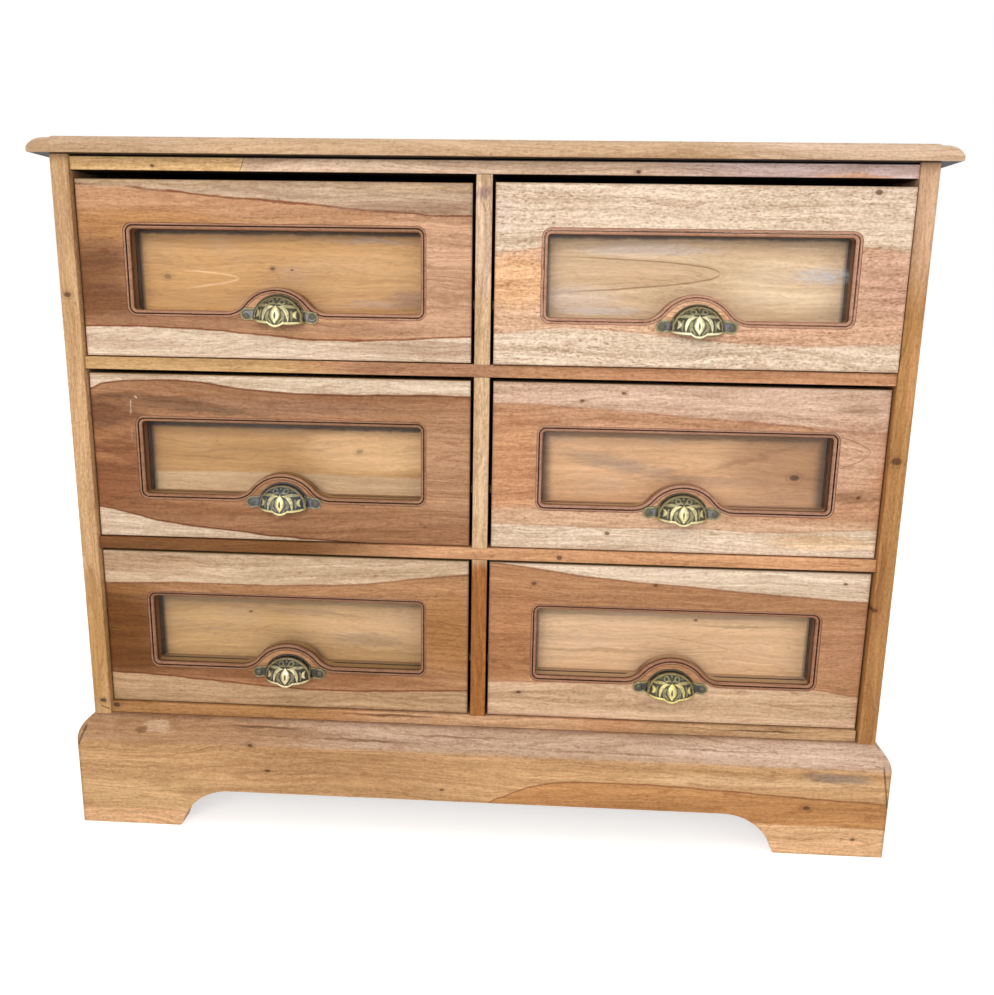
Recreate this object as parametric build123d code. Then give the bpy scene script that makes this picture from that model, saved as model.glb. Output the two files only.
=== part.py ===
from build123d import *
from dataclasses import dataclass
from math import atan2, cos, hypot, pi, sin, sqrt
import os

# Seed storage cabinet: a low chest of six drawers on a bracket-foot plinth. Every drawer front
# is one board with a moulded window, a glass pane behind it and a display space behind the
# glass. The window's lower edge rises in an arch over a cast brass cup pull.
#
# Millimetres, +Z up, the front faces -Y. The origin is the middle of the cabinet's own box on
# the floor. The plane of the two front posts is FRONT_Y.

# ---- case
case_width = 930.0  # over the two side boards
case_depth = 380.0  # from the front posts to the back
side_thickness = 20.0  # its front edge is the post that the front shows
overhang = 16.0  # of the top board and of the plinth, at the front and at both sides
arris = 1.2  # worn rounding of the front arrises

# ---- top board
top_thickness = 18.5
nose_height = 4.5  # upright part of its edge
nose_crown = 12.0  # rise of the thumb moulding above the nose
nose_run = 16.5  # how far that moulding runs back
nose_bulge = 3.4  # how far the moulding stands outside its chord
top_step_run = 2.5  # small step between the moulding and the flat top

# ---- front frame
rail_height = 14.0
top_rail_height = 15.5
rail_depth = 40.0
rail_recess = 4.0  # rails and muntins stand back from the posts
rail_end_gap = 0.2
shrunk_end_gap = 2.6  # open joint at the right end of the bottom rail
muntin_width = 18.0

# ---- case boards behind the front frame
back_thickness = 6.0
back_rebate = 10.0
bottom_board_thickness = 12.0
board_fit = 0.2  # a case board in its place

# ---- plinth
plinth_height = 136.0
plinth_thickness = 24.0
plinth_round_height = 28.0  # moulded part above the upright face
arch_height = 48.0
arch_radius = 62.0
left_foot_width = 122.0
right_foot_width = 128.0
side_foot_share = 0.303  # of the plinth's depth, each foot of a side board
foot_round = 4.0
mitre_gap = 0.6  # the corner mitres have opened
plinth_back_thickness = 20.0
plinth_back_height = 88.0

# ---- drawer fronts
front_thickness = 20.0
side_gap = 2.25  # each side of a front, when it hangs in the middle
side_play = 1.0  # how far a drawer may hang to one side
floor_gap = 0.8
front_recess = 8.0  # behind the posts

# ---- drawer windows
window_side_margin = 56.0  # from the front's end to the sight edge
window_foot_margin = 51.0
window_corner_radius = 4.0
arch_half_width = 57.0
arch_rise = 27.0
arch_crown_radius = 47.0
outer_step_offset = 6.5  # outer line of the window moulding
outer_step_depth = 1.0
inner_step_offset = 3.4
inner_step_depth = 2.2
sight_round = 3.0  # quarter round down to the sight edge
glass_thickness = 3.0
glass_lap = 4.0  # rebate behind the sight edge
glass_fit = 0.3
glass_slack = 0.2  # depth left in the rebate behind the glass
bead_width = 14.0
display_depth = 8.0  # from the front's back face to the display panel
panel_thickness = 4.0

# ---- drawer boxes
box_inset = 6.0  # the box is narrower than its front at each side
box_side_thickness = 14.0
box_side_rise = 6.0  # bottom edge of the sides above the front's bottom edge
box_side_height = 159.0
box_back_room = 26.0  # between the back ends of the sides and the back panel
side_housing = 5.0  # the sides' front ends stand in the front
box_groove = 4.0  # the bottom and the back board stand in the sides
box_fit = 0.2
box_bottom_rise = 8.0  # above the sides' bottom edge
box_bottom_thickness = 6.0
box_back_thickness = 12.0
box_back_setback = 6.0
box_back_drop = 10.0  # its top edge lies below the sides'
panel_drop = 2.0
panel_fit = 0.3

# ---- side-hung runners
runner_height = 9.0
runner_rise = 59.0  # bottom of a runner above the opening's floor
runner_engagement = 5.75
runner_play_above = 0.3
runner_play_below = 0.7
runner_play_side = 0.65
runner_stop_gap = 2.0  # from a closed front's back face to the runner's front end
runner_back_gap = 8.0

# ---- cup pulls
cup_half_width = 28.5
cup_crown = 22.5  # above the line of the two screws
cup_centre_drop = 4.0  # middle of the cup's ellipsoid below that line
cup_reach = 20.0
cup_wall = 1.6
lip_drop = 11.5  # lowest point of the lip below the screws
lip_lobe_half_width = 9.0
lip_notch_drop = 8.2
lip_wing_drop = 9.4
lip_end_drop = 5.0
flange_thickness = 1.6
flange_rim = 2.0  # round the crown of the cup
ear_span = 73.3  # between the two screws
ear_radius = 7.0
ear_root_half_height = 8.6
pull_rise = 45.0  # screws above the front's bottom edge

# ---- pull screws
screw_head_radius = 3.2
screw_head_height = 1.5
screw_slot_width = 0.8
screw_slot_depth = 0.7
shank_radius = 1.5
shank_depth = 14.0  # in the wood
ear_hole_fit = 0.3
pilot_fit = 0.1

pulled_out = 10.0  # a drawer that was left a little open
match_tolerance = 0.01  # for finding an edge by its place


@dataclass(frozen=True)
class Row:
    """One row of drawers, from the bottom up."""

    name: str
    opening_height: float
    head_gap: float  # above the front
    window_head_margin: float  # from the sight edge to the front's top edge


@dataclass(frozen=True)
class Hang:
    """How one drawer hangs in its opening, and where its pull was screwed on."""

    row: str
    column: str
    shift: float  # to the right
    forward: float  # a drawer that isn't pushed home
    pull_shift: float
    pull_lift: float


rows = [
    Row("bottom", 193.0, 3.2, 55.0),
    Row("middle", 194.0, 4.2, 54.0),
    Row("top", 198.0, 8.2, 51.0),
]
hangs = [
    Hang("top", "left", -side_play, 0.0, 4.0, 2.0),
    Hang("top", "right", side_play, pulled_out, 1.0, -1.0),
    Hang("middle", "left", -side_play, 0.0, 2.0, 0.0),
    Hang("middle", "right", side_play, 0.0, -1.5, 1.0),
    Hang("bottom", "left", -side_play, 0.0, 1.5, -1.5),
    Hang("bottom", "right", 0.0, 0.0, -1.5, -2.5),
]

# ---- places that follow from the sizes
foremost_pull = cup_reach - front_recess + max(hang.forward for hang in hangs)
FRONT_Y = (max(foremost_pull, overhang) - case_depth) / 2
BACK_Y = FRONT_Y + case_depth
case_half = case_width / 2
inner_half = case_half - side_thickness
plinth_half = case_half + overhang
plinth_front_y = FRONT_Y - overhang
opening_width = inner_half - muntin_width / 2
opening_height_sum = sum(row.opening_height for row in rows)
case_top = plinth_height + rail_height * len(rows) + opening_height_sum + top_rail_height
rail_back_y = FRONT_Y + rail_recess + rail_depth
back_panel_y = BACK_Y - back_thickness
front_width = opening_width - 2 * side_gap
window_width = front_width - 2 * window_side_margin
arch_foot_radius = (arch_half_width**2 + arch_rise**2) / (2 * arch_rise) - arch_crown_radius
box_half = front_width / 2 - box_inset
box_length = case_depth - back_thickness - front_recess - box_back_room
box_inner_half = box_half - box_side_thickness
box_floor = box_side_rise + box_bottom_rise
box_floor_top = box_floor + box_bottom_thickness + box_fit
runner_width = side_gap + box_inset + runner_engagement
runner_groove_depth = runner_engagement + side_play + runner_play_side
runner_front_y = FRONT_Y + front_recess + front_thickness + runner_stop_gap
bead_back = front_thickness + display_depth


def row_floor(name):
    """Height of the floor of one row's openings."""
    floor = plinth_height + rail_height
    for row in rows:
        if row.name == name:
            return floor
        floor += row.opening_height + rail_height
    raise ValueError(name)


def row_named(name):
    """The row of that name."""
    return next(row for row in rows if row.name == name)


def block(x0, x1, y0, y1, z0, z1):
    """A square-edged board between two corners."""
    middle = Pos((x0 + x1) / 2, (y0 + y1) / 2, (z0 + z1) / 2)
    return middle * Box(abs(x1 - x0), abs(y1 - y0), abs(z1 - z0))


def ease_front(board, along=None):
    """The board with its front arrises rounded: all four, or those along one axis."""
    edges = board.faces().sort_by(Axis.Y)[0].edges()
    if along is not None:
        edges = edges.filter_by(along)
    return fillet(edges, arris)


def slab(face, y0, y1):
    """A face drawn in X and Z, as a solid from y0 back to y1."""
    return extrude(Plane.XZ.offset(-y1) * face, amount=y1 - y0)


def group(solids):
    """Separate pieces under one name."""
    return Compound([solid.solid() for solid in solids])


def turn_arc(centre, radius, start, end):
    """A circular arc between two angles, in radians."""
    angles = (start, (start + end) / 2, end)
    points = [(centre[0] + radius * cos(a), centre[1] + radius * sin(a)) for a in angles]
    return ThreePointArc(*points)


# ---- the case


def make_top_board():
    """Top board, moulded along its front and both ends, square at the back."""
    crown_z = nose_height + nose_crown
    chord = hypot(nose_run, nose_crown)
    bulge_x = nose_run / 2 - nose_bulge * nose_crown / chord
    bulge_z = nose_height + nose_crown / 2 + nose_bulge * nose_run / chord

    def edge(turn, end):
        """Moulded edge that starts at end and runs inwards, turn being 1 or -1."""
        nose_top = (end, nose_height)
        bulge = (end + turn * bulge_x, bulge_z)
        crown = (end + turn * nose_run, crown_z)
        flat = (end + turn * (nose_run + top_step_run), top_thickness)
        lines = [Line((end, 0), nose_top), ThreePointArc(nose_top, bulge, crown), Line(crown, flat)]
        return lines, flat

    left, left_flat = edge(1, -plinth_half)
    right, right_flat = edge(-1, plinth_half)
    bottom = Line((-plinth_half, 0), (plinth_half, 0))
    across = make_face(left + right + [bottom, Line(left_flat, right_flat)])
    across = slab(across, plinth_front_y, BACK_Y)

    front, front_flat = edge(1, plinth_front_y)
    back = [Line((plinth_front_y, 0), (BACK_Y, 0)), Line((BACK_Y, 0), (BACK_Y, top_thickness))]
    along = make_face(front + back + [Line(front_flat, (BACK_Y, top_thickness))])
    along = extrude(Plane.YZ.offset(-plinth_half) * along, amount=2 * plinth_half)
    return Pos(0, 0, case_top) * (across & along)


def make_side_board(side):
    """Side board, whose front edge is a post. The back panel lies in its rebate."""
    outer = side * case_half
    inner = side * inner_half
    board = ease_front(block(inner, outer, FRONT_Y, BACK_Y, plinth_height, case_top), Axis.Z)
    rebate_edge = side * (inner_half + back_rebate)
    rebate_y = back_panel_y - board_fit
    return board - block(inner, rebate_edge, rebate_y, BACK_Y, plinth_height, case_top)


def make_front_rails():
    """Bottom rail, two drawer rails and the top rail, from the bottom up."""
    heights = [rail_height] * len(rows) + [top_rail_height]
    rails = []
    z = plinth_height
    for index, height in enumerate(heights):
        right_gap = shrunk_end_gap if index == 0 else rail_end_gap
        x0 = -inner_half + rail_end_gap
        x1 = inner_half - right_gap
        rail = block(x0, x1, FRONT_Y + rail_recess, rail_back_y, z, z + height)
        rails.append(ease_front(rail, Axis.X))
        if index < len(rows):
            z += height + rows[index].opening_height
    return group(rails)


def make_muntins():
    """The short uprights between the rails, one for each row."""
    muntins = []
    for row in rows:
        z0 = row_floor(row.name)
        z1 = z0 + row.opening_height
        half = muntin_width / 2
        muntin = block(-half, half, FRONT_Y + rail_recess, rail_back_y, z0, z1)
        muntins.append(ease_front(muntin, Axis.Z))
    return group(muntins)


def make_bottom_board():
    """Dust board behind the bottom rail."""
    half = inner_half - board_fit
    z1 = plinth_height + bottom_board_thickness
    return block(-half, half, rail_back_y, back_panel_y - board_fit, plinth_height, z1)


def make_centre_partition():
    """Upright board between the two stacks of drawers. It carries the inner runners."""
    half = muntin_width / 2
    z0 = plinth_height + bottom_board_thickness
    return block(-half, half, rail_back_y, back_panel_y - board_fit, z0, case_top)


def make_back_panel():
    """Back panel, in the rebates of the two side boards."""
    half = inner_half + back_rebate - board_fit
    return block(-half, half, back_panel_y, BACK_Y, plinth_height, case_top)


def make_drawer_runners():
    """Twelve strips on the side boards and on the partition. The drawers hang on them."""
    runners = []
    for row in rows:
        z0 = row_floor(row.name) + runner_rise
        z1 = z0 + runner_height
        for side in (-1, 1):
            walls = [(side * inner_half, -side), (side * muntin_width / 2, side)]
            for wall, turn in walls:
                x1 = wall + turn * runner_width
                y1 = back_panel_y - runner_back_gap
                runners.append(block(wall, x1, runner_front_y, y1, z0, z1))
    return group(runners)


# ---- the plinth


def plinth_profile(outer):
    """Section of a plinth board whose upright face is at outer, drawn towards larger values."""
    round_z = plinth_height - plinth_round_height
    radius = (overhang**2 + plinth_round_height**2) / (2 * overhang)
    centre = (outer + radius, round_z)
    crown = (outer + overhang, plinth_height)
    crown_angle = atan2(crown[1] - centre[1], crown[0] - centre[0])
    inner = outer + plinth_thickness
    lines = [
        Line((outer, 0), (outer, round_z)),
        turn_arc(centre, radius, pi, crown_angle),
        Line(crown, (inner, plinth_height)),
        Line((inner, plinth_height), (inner, 0)),
        Line((inner, 0), (outer, 0)),
    ]
    return make_face(lines)


def foot_arch(start, end):
    """The opening between two feet, from start to end at the floor."""
    run = sqrt(arch_radius**2 - (arch_radius - arch_height) ** 2)
    spring = atan2(arch_height - arch_radius, run)
    centre_z = arch_height - arch_radius
    left = (start + run, centre_z)
    right = (end - run, centre_z)
    lines = [
        turn_arc(left, arch_radius, pi + spring, pi / 2),
        Line((start + run, arch_height), (end - run, arch_height)),
        turn_arc(right, arch_radius, pi / 2, -spring),
        Line((end, 0), (start, 0)),
    ]
    return make_face(lines)


def mitre_waste(side, of_front):
    """Wood beyond the mitre at one front corner, of the front board or of a side board."""
    gap = mitre_gap / 2 * sqrt(2)
    reach = plinth_thickness + overhang
    x = side * plinth_half
    y = plinth_front_y
    if of_front:
        cut = (x - side * gap, y)
        beyond = (x + side * reach, y + reach)
    else:
        cut = (x, y + gap)
        beyond = (x - side * reach, y - reach)
    near = (cut[0] + side * reach, cut[1] - reach)
    far = (cut[0] - side * reach, cut[1] + reach)
    return extrude(make_face(Polyline(near, far, beyond, close=True)), amount=plinth_height)


def round_feet(board, along, at):
    """The board with the inner corners of its feet rounded, at these places on the other axis."""
    corners = []
    for edge in board.edges().filter_by(along):
        centre = edge.center()
        across = centre.X if along == Axis.Y else centre.Y
        nearest = min(abs(across - place) for place in at)
        if max(abs(centre.Z), nearest) < match_tolerance:
            corners.append(edge)
    return fillet(corners, foot_round)


def make_plinth_front():
    """Front board of the plinth, with its two bracket feet."""
    face = Plane.YZ.offset(-plinth_half) * plinth_profile(plinth_front_y)
    board = extrude(face, amount=2 * plinth_half)
    start = -plinth_half + left_foot_width
    end = plinth_half - right_foot_width
    board -= slab(foot_arch(start, end), plinth_front_y, plinth_front_y + plinth_thickness)
    for side in (-1, 1):
        board -= mitre_waste(side, of_front=True)
    return round_feet(board, Axis.Y, (start, end))


def make_plinth_sides():
    """Side boards of the plinth, mirror images."""
    face = Plane.XZ.offset(-BACK_Y) * plinth_profile(-plinth_half)
    board = extrude(face, amount=case_depth + overhang)
    foot_width = side_foot_share * (case_depth + overhang)
    start = plinth_front_y + foot_width
    end = BACK_Y - foot_width
    cut = Plane.YZ.offset(-plinth_half) * foot_arch(start, end)
    board -= extrude(cut, amount=plinth_thickness)
    board -= mitre_waste(-1, of_front=False)
    left = round_feet(board, Axis.X, (start, end))
    return group([left, mirror(left, about=Plane.YZ)])


def make_plinth_back():
    """Back rail of the plinth, between its side boards."""
    half = plinth_half - plinth_thickness - board_fit
    z0 = plinth_height - plinth_back_height
    return block(-half, half, BACK_Y - plinth_back_thickness, BACK_Y, z0, plinth_height)


# ---- the drawers, each in its own frame: X and Z from the bottom middle of the front's face


def window_face(width, height, offset):
    """The window's outline, moved outwards by offset. Z is from the sight edge's bottom line."""
    half = width / 2
    left = -half + window_corner_radius
    right = half - window_corner_radius
    low = window_corner_radius
    high = height - window_corner_radius
    corner = window_corner_radius + offset
    crown = (0, arch_rise - arch_crown_radius)
    crown_radius = arch_crown_radius - offset
    foot_radius = arch_foot_radius + offset
    feet = [(-arch_half_width, arch_foot_radius), (arch_half_width, arch_foot_radius)]
    lean = atan2(feet[1][1] - crown[1], feet[1][0] - crown[0])
    lines = [
        turn_arc((left, low), corner, pi, 1.5 * pi),
        Line((left, -offset), (-arch_half_width, -offset)),
        turn_arc(feet[0], foot_radius, -pi / 2, -lean),
        turn_arc(crown, crown_radius, pi - lean, lean),
        turn_arc(feet[1], foot_radius, -pi + lean, -pi / 2),
        Line((arch_half_width, -offset), (right, -offset)),
        turn_arc((right, low), corner, -pi / 2, 0),
        Line((half + offset, low), (half + offset, high)),
        turn_arc((right, high), corner, 0, pi / 2),
        Line((right, height + offset), (left, height + offset)),
        turn_arc((left, high), corner, pi / 2, pi),
        Line((-half - offset, high), (-half - offset, low)),
    ]
    return make_face(lines)


def front_height(row):
    """Height of a drawer front."""
    return row.opening_height - floor_gap - row.head_gap


def window_height(row):
    """Height of the sight opening."""
    return front_height(row) - window_foot_margin - row.window_head_margin


def screw_places(hang):
    """X and Z of the two pull screws."""
    z = pull_rise + hang.pull_lift
    return [(hang.pull_shift + side * ear_span / 2, z) for side in (-1, 1)]


def make_front(row, hang):
    """Drawer front with its moulded window, glass rebate, housings and pilot holes."""
    height = front_height(row)
    half = front_width / 2
    sight = window_height(row)
    board = ease_front(block(-half, half, 0, front_thickness, 0, height))
    at_window = Pos(0, window_foot_margin)
    steps = [(outer_step_offset, outer_step_depth), (inner_step_offset, inner_step_depth)]
    for offset, depth in steps:
        board -= slab(at_window * window_face(window_width, sight, offset), 0, depth)
    board -= slab(at_window * window_face(window_width, sight, 0), 0, front_thickness)
    sight_edges = [
        edge
        for edge in board.edges()
        if abs(edge.center().Y - inner_step_depth) < match_tolerance
        and inside_sight(edge, sight)
    ]
    board = fillet(sight_edges, sight_round)

    lap_half = window_width / 2 + glass_lap
    rebate_y = front_thickness - glass_thickness - glass_slack
    z0 = window_foot_margin - glass_lap
    z1 = window_foot_margin + sight + glass_lap
    board -= block(-lap_half, lap_half, rebate_y, front_thickness, z0, z1)

    side_top = box_side_rise + box_side_height
    housing_y = front_thickness - side_housing
    for side in (-1, 1):
        x0 = side * (box_inner_half - box_fit / 2)
        x1 = side * (box_half + box_fit / 2)
        housing_z = (box_side_rise - box_fit / 2, side_top + box_fit / 2)
        board -= block(x0, x1, housing_y, front_thickness, *housing_z)
    groove_y = front_thickness - box_groove
    board -= block(
        -box_inner_half, box_inner_half, groove_y, front_thickness, box_floor, box_floor_top
    )
    pilot_radius = shank_radius + pilot_fit
    for x, z in screw_places(hang):
        pilot = Cylinder(pilot_radius, shank_depth, rotation=(90, 0, 0))
        board -= Pos(x, shank_depth / 2, z) * pilot
    return board


def inside_sight(edge, sight):
    """Whether an edge lies on the sight outline and not on the step round it."""
    reach = inner_step_offset / 2
    box = edge.bounding_box()
    low = window_foot_margin - reach
    high = window_foot_margin + sight + reach
    half = window_width / 2 + reach
    flat_crown = window_foot_margin + arch_rise - reach
    if box.min.Z < low or box.max.Z > high or box.min.X < -half or box.max.X > half:
        return False
    middle = edge.position_at(0.5)
    near_arch = abs(middle.X) < arch_half_width and middle.Z < flat_crown + reach
    if not near_arch:
        return True
    return sight_distance(middle.X, middle.Z - window_foot_margin) < reach


def sight_distance(x, z):
    """Distance from a point near the arch to the sight outline."""
    crown = (0, arch_rise - arch_crown_radius)
    foot = (arch_half_width, arch_foot_radius)
    to_crown = abs(hypot(x - crown[0], z - crown[1]) - arch_crown_radius)
    to_foot = abs(hypot(abs(x) - foot[0], z - foot[1]) - arch_foot_radius)
    return min(to_crown, to_foot)


def make_glass(row):
    """Pane in its rebate behind the window."""
    half = window_width / 2 + glass_lap - glass_fit
    y0 = front_thickness - glass_thickness - glass_slack / 2
    z0 = window_foot_margin - glass_lap + glass_fit
    z1 = window_foot_margin + window_height(row) + glass_lap - glass_fit
    return block(-half, half, y0, y0 + glass_thickness, z0, z1)


def make_glass_beads(row):
    """Four strips behind the window. They hold the glass and space the display panel."""
    half = window_width / 2
    z0 = window_foot_margin
    z1 = z0 + window_height(row)
    wide = half + bead_width
    strips = [
        block(-wide, wide, front_thickness, bead_back, z0 - bead_width, z0),
        block(-wide, wide, front_thickness, bead_back, z1, z1 + bead_width),
        block(-wide, -half, front_thickness, bead_back, z0, z1),
        block(half, wide, front_thickness, bead_back, z0, z1),
    ]
    return group(strips)


def make_display_panel():
    """Thin panel behind the beads: the back of the display and the front of the box."""
    half = box_inner_half - panel_fit
    z1 = box_side_rise + box_side_height - panel_drop
    return block(-half, half, bead_back, bead_back + panel_thickness, box_floor_top, z1)


def make_box():
    """Two grooved sides and a back."""
    z0 = box_side_rise
    z1 = z0 + box_side_height
    back_y = box_length - box_back_setback - box_back_thickness
    back_top = z1 - box_back_drop
    groove_floor = runner_rise - floor_gap - runner_play_below
    groove_top = runner_rise - floor_gap + runner_height + runner_play_above
    front_end = front_thickness - side_housing + box_fit / 2
    pieces = []
    for side in (-1, 1):
        inner = side * box_inner_half
        outer = side * box_half
        board = block(inner, outer, front_end, box_length, z0, z1)
        groove_x = outer - side * runner_groove_depth
        board -= block(groove_x, outer, front_thickness, box_length, groove_floor, groove_top)
        housed = inner + side * box_groove
        board -= block(inner, housed, front_end, box_length, box_floor, box_floor_top)
        back_end = back_y + box_back_thickness + box_fit
        board -= block(inner, housed, back_y, back_end, box_floor_top, back_top + box_fit)
        pieces.append(board)
    half = box_inner_half + box_groove - box_fit
    back_y += box_fit / 2
    back_floor = box_floor_top + box_fit / 2
    pieces.append(block(-half, half, back_y, back_y + box_back_thickness, back_floor, back_top))
    return group(pieces)


def make_box_bottom():
    """Bottom of the box, in the grooves of the sides and of the front."""
    half = box_inner_half + box_groove - box_fit
    front_end = front_thickness - box_groove + box_fit
    tongue = block(
        -box_inner_half + box_fit,
        box_inner_half - box_fit,
        front_end,
        front_thickness,
        box_floor + box_fit / 2,
        box_floor_top - box_fit / 2,
    )
    z0 = box_floor + box_fit / 2
    z1 = box_floor_top - box_fit / 2
    return tongue + block(-half, half, front_thickness, box_length - box_fit, z0, z1)


def cup_shell(shrink):
    """The cup's ellipsoid, made smaller all round by shrink."""
    centre_z = -cup_centre_drop
    half_axes = (
        cup_half_width - shrink,
        cup_reach - shrink,
        cup_crown + cup_centre_drop - shrink,
    )
    return Pos(0, 0, centre_z) * scale(Sphere(1), by=half_axes)


def lip_outline(reach):
    """Front view of what the lip leaves: everything above its scalloped edge."""
    lobe = lip_lobe_half_width
    wing_x = (lobe + cup_half_width) / 2
    notch = -lip_notch_drop
    end = -lip_end_drop
    left = [
        ThreePointArc((-cup_half_width, end), (-wing_x, -lip_wing_drop), (-lobe, notch)),
        ThreePointArc((-lobe, notch), (0, -lip_drop), (lobe, notch)),
        ThreePointArc((lobe, notch), (wing_x, -lip_wing_drop), (cup_half_width, end)),
    ]
    sides = [
        Line((cup_half_width, end), (reach, end)),
        Line((reach, end), (reach, reach)),
        Line((reach, reach), (-reach, reach)),
        Line((-reach, reach), (-reach, end)),
        Line((-reach, end), (-cup_half_width, end)),
    ]
    return make_face(left + sides)


def flange_face():
    """Ears and rim of the pull, in front view."""
    ear_x = ear_span / 2
    rim = Pos(0, -cup_centre_drop) * Ellipse(
        cup_half_width + flange_rim, cup_crown + cup_centre_drop + flange_rim
    )
    top_half = Pos(0, ear_span / 2 - lip_end_drop) * Rectangle(2 * ear_span, ear_span)
    outline = rim & top_half
    root_x = cup_half_width - flange_rim
    for side in (-1, 1):
        ear = Pos(side * ear_x, 0) * Circle(ear_radius)
        web = make_face(
            Polyline(
                (side * root_x, ear_root_half_height),
                (side * ear_x, ear_radius),
                (side * ear_x, -ear_radius),
                (side * root_x, -lip_end_drop),
                close=True,
            )
        )
        outline += ear + web
        outline -= Pos(side * ear_x, 0) * Circle(shank_radius + ear_hole_fit)
    return outline


def make_cup_pull(hang):
    """Cast cup with a scalloped lip and two ears. Its hollow is open below and at the back."""
    reach = 2 * ear_span
    outer = cup_shell(0) & slab(lip_outline(reach), -cup_reach, 0)
    hollow = cup_shell(cup_wall)
    flange = slab(flange_face(), -flange_thickness, 0)
    pull = (outer + flange) - hollow
    return Pos(hang.pull_shift, 0, pull_rise + hang.pull_lift) * pull


def make_pull_screws(hang):
    """Two round-head slotted screws."""
    dome_radius = (screw_head_radius**2 + screw_head_height**2) / (2 * screw_head_height)
    dome_y = -flange_thickness - screw_head_height + dome_radius
    screws = []
    for x, z in screw_places(hang):
        cap = Pos(x, dome_y, z) * Sphere(dome_radius)
        side = 2 * screw_head_radius
        crown_y = -flange_thickness - screw_head_height
        cap &= block(x - side, x + side, crown_y, -flange_thickness, z - side, z + side)
        shank_end = shank_depth - pilot_fit
        length = shank_end - crown_y - screw_slot_depth
        shank = Cylinder(shank_radius, length, rotation=(90, 0, 0))
        screw = cap + Pos(x, shank_end - length / 2, z) * shank
        slot = screw_slot_width / 2
        slot_floor = crown_y + screw_slot_depth
        screws.append(screw - block(x - side, x + side, crown_y, slot_floor, z - slot, z + slot))
    return group(screws)


def drawer_place(hang):
    """Where a drawer's own frame stands at rest."""
    side = -1 if hang.column == "left" else 1
    x = side * (muntin_width + opening_width) / 2 + hang.shift
    y = FRONT_Y + front_recess - hang.forward
    return Pos(x, y, row_floor(hang.row) + floor_gap)


def make_drawer(hang):
    """The pieces of one drawer, by name."""
    row = row_named(hang.row)
    pieces = {
        "front": make_front(row, hang),
        "glass": make_glass(row),
        "glass_beads": make_glass_beads(row),
        "display_panel": make_display_panel(),
        "box": make_box(),
        "bottom": make_box_bottom(),
        "cup_pull": make_cup_pull(hang),
        "pull_screws": make_pull_screws(hang),
    }
    place = drawer_place(hang)
    return {name: place * piece for name, piece in pieces.items()}


def make_case():
    """The pieces that stand still, by name."""
    return {
        "top_board": make_top_board(),
        "left_side_board": make_side_board(-1),
        "right_side_board": make_side_board(1),
        "front_rails": make_front_rails(),
        "muntins": make_muntins(),
        "centre_partition": make_centre_partition(),
        "drawer_runners": make_drawer_runners(),
        "bottom_board": make_bottom_board(),
        "back_panel": make_back_panel(),
        "plinth_front": make_plinth_front(),
        "plinth_sides": make_plinth_sides(),
        "plinth_back": make_plinth_back(),
    }


nodes = make_case()
for hang in hangs:
    drawer_name = f"{hang.row}_{hang.column}_drawer"
    for piece_name, piece in make_drawer(hang).items():
        nodes[f"{drawer_name}_{piece_name}"] = piece

os.makedirs("parts", exist_ok=True)
for node_name, shape in nodes.items():
    export_step(shape, f"parts/{node_name}.step")
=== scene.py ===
"""Looks of the seed storage cabinet: its woods, glass and cast pulls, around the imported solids."""

from __future__ import annotations

import logging
import math
from dataclasses import dataclass, field
from enum import Enum
from typing import Any, Sequence, Union

import bmesh
import bpy
import numpy as np
from mathutils import Matrix, Vector

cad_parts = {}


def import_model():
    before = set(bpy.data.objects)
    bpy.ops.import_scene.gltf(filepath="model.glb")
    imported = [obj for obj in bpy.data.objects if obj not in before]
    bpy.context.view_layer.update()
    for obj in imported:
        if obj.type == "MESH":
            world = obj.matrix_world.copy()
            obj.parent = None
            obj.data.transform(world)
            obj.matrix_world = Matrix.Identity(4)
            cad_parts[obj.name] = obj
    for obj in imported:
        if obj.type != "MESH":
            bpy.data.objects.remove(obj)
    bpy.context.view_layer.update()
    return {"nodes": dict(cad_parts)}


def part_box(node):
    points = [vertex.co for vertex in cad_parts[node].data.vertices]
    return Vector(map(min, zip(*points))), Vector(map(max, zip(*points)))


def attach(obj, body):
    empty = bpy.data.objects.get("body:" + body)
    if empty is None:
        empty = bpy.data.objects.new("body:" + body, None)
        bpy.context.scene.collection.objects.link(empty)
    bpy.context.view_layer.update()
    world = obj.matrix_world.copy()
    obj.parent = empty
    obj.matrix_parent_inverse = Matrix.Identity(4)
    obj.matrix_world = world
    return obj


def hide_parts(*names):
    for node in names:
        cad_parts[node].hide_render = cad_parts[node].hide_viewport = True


LOG = logging.getLogger("seed_cabinet")
MM = 0.001  # the frame is in metres, the sizes here in millimetres

# The face frame, in which places on the front are given: X from the left post's outer face, Z from
# the floor, both in millimetres, and Y back from the plane of the posts.
FACE_ORIGIN = (-465.0, -179.0, 0.0)

Pair = tuple[float, float]
Triple = tuple[float, float, float]


# ---------------------------------------------------------------- shader expressions


@dataclass(frozen=True)
class Colour:
    """A colour as it looks on paper, three channels from 0 to 255."""

    red: float
    green: float
    blue: float

    def linear(self) -> tuple[float, float, float, float]:
        """The colour as light, for a shader socket."""

        def channel(value: float) -> float:
            """One channel of the display curve undone."""
            share = value / 255
            return share / 12.92 if share <= 0.04045 else ((share + 0.055) / 1.055) ** 2.4

        return (channel(self.red), channel(self.green), channel(self.blue), 1.0)

    def times(self, share: float) -> "Colour":
        """The colour with its channels multiplied by share."""
        return Colour(self.red * share, self.green * share, self.blue * share)


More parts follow.
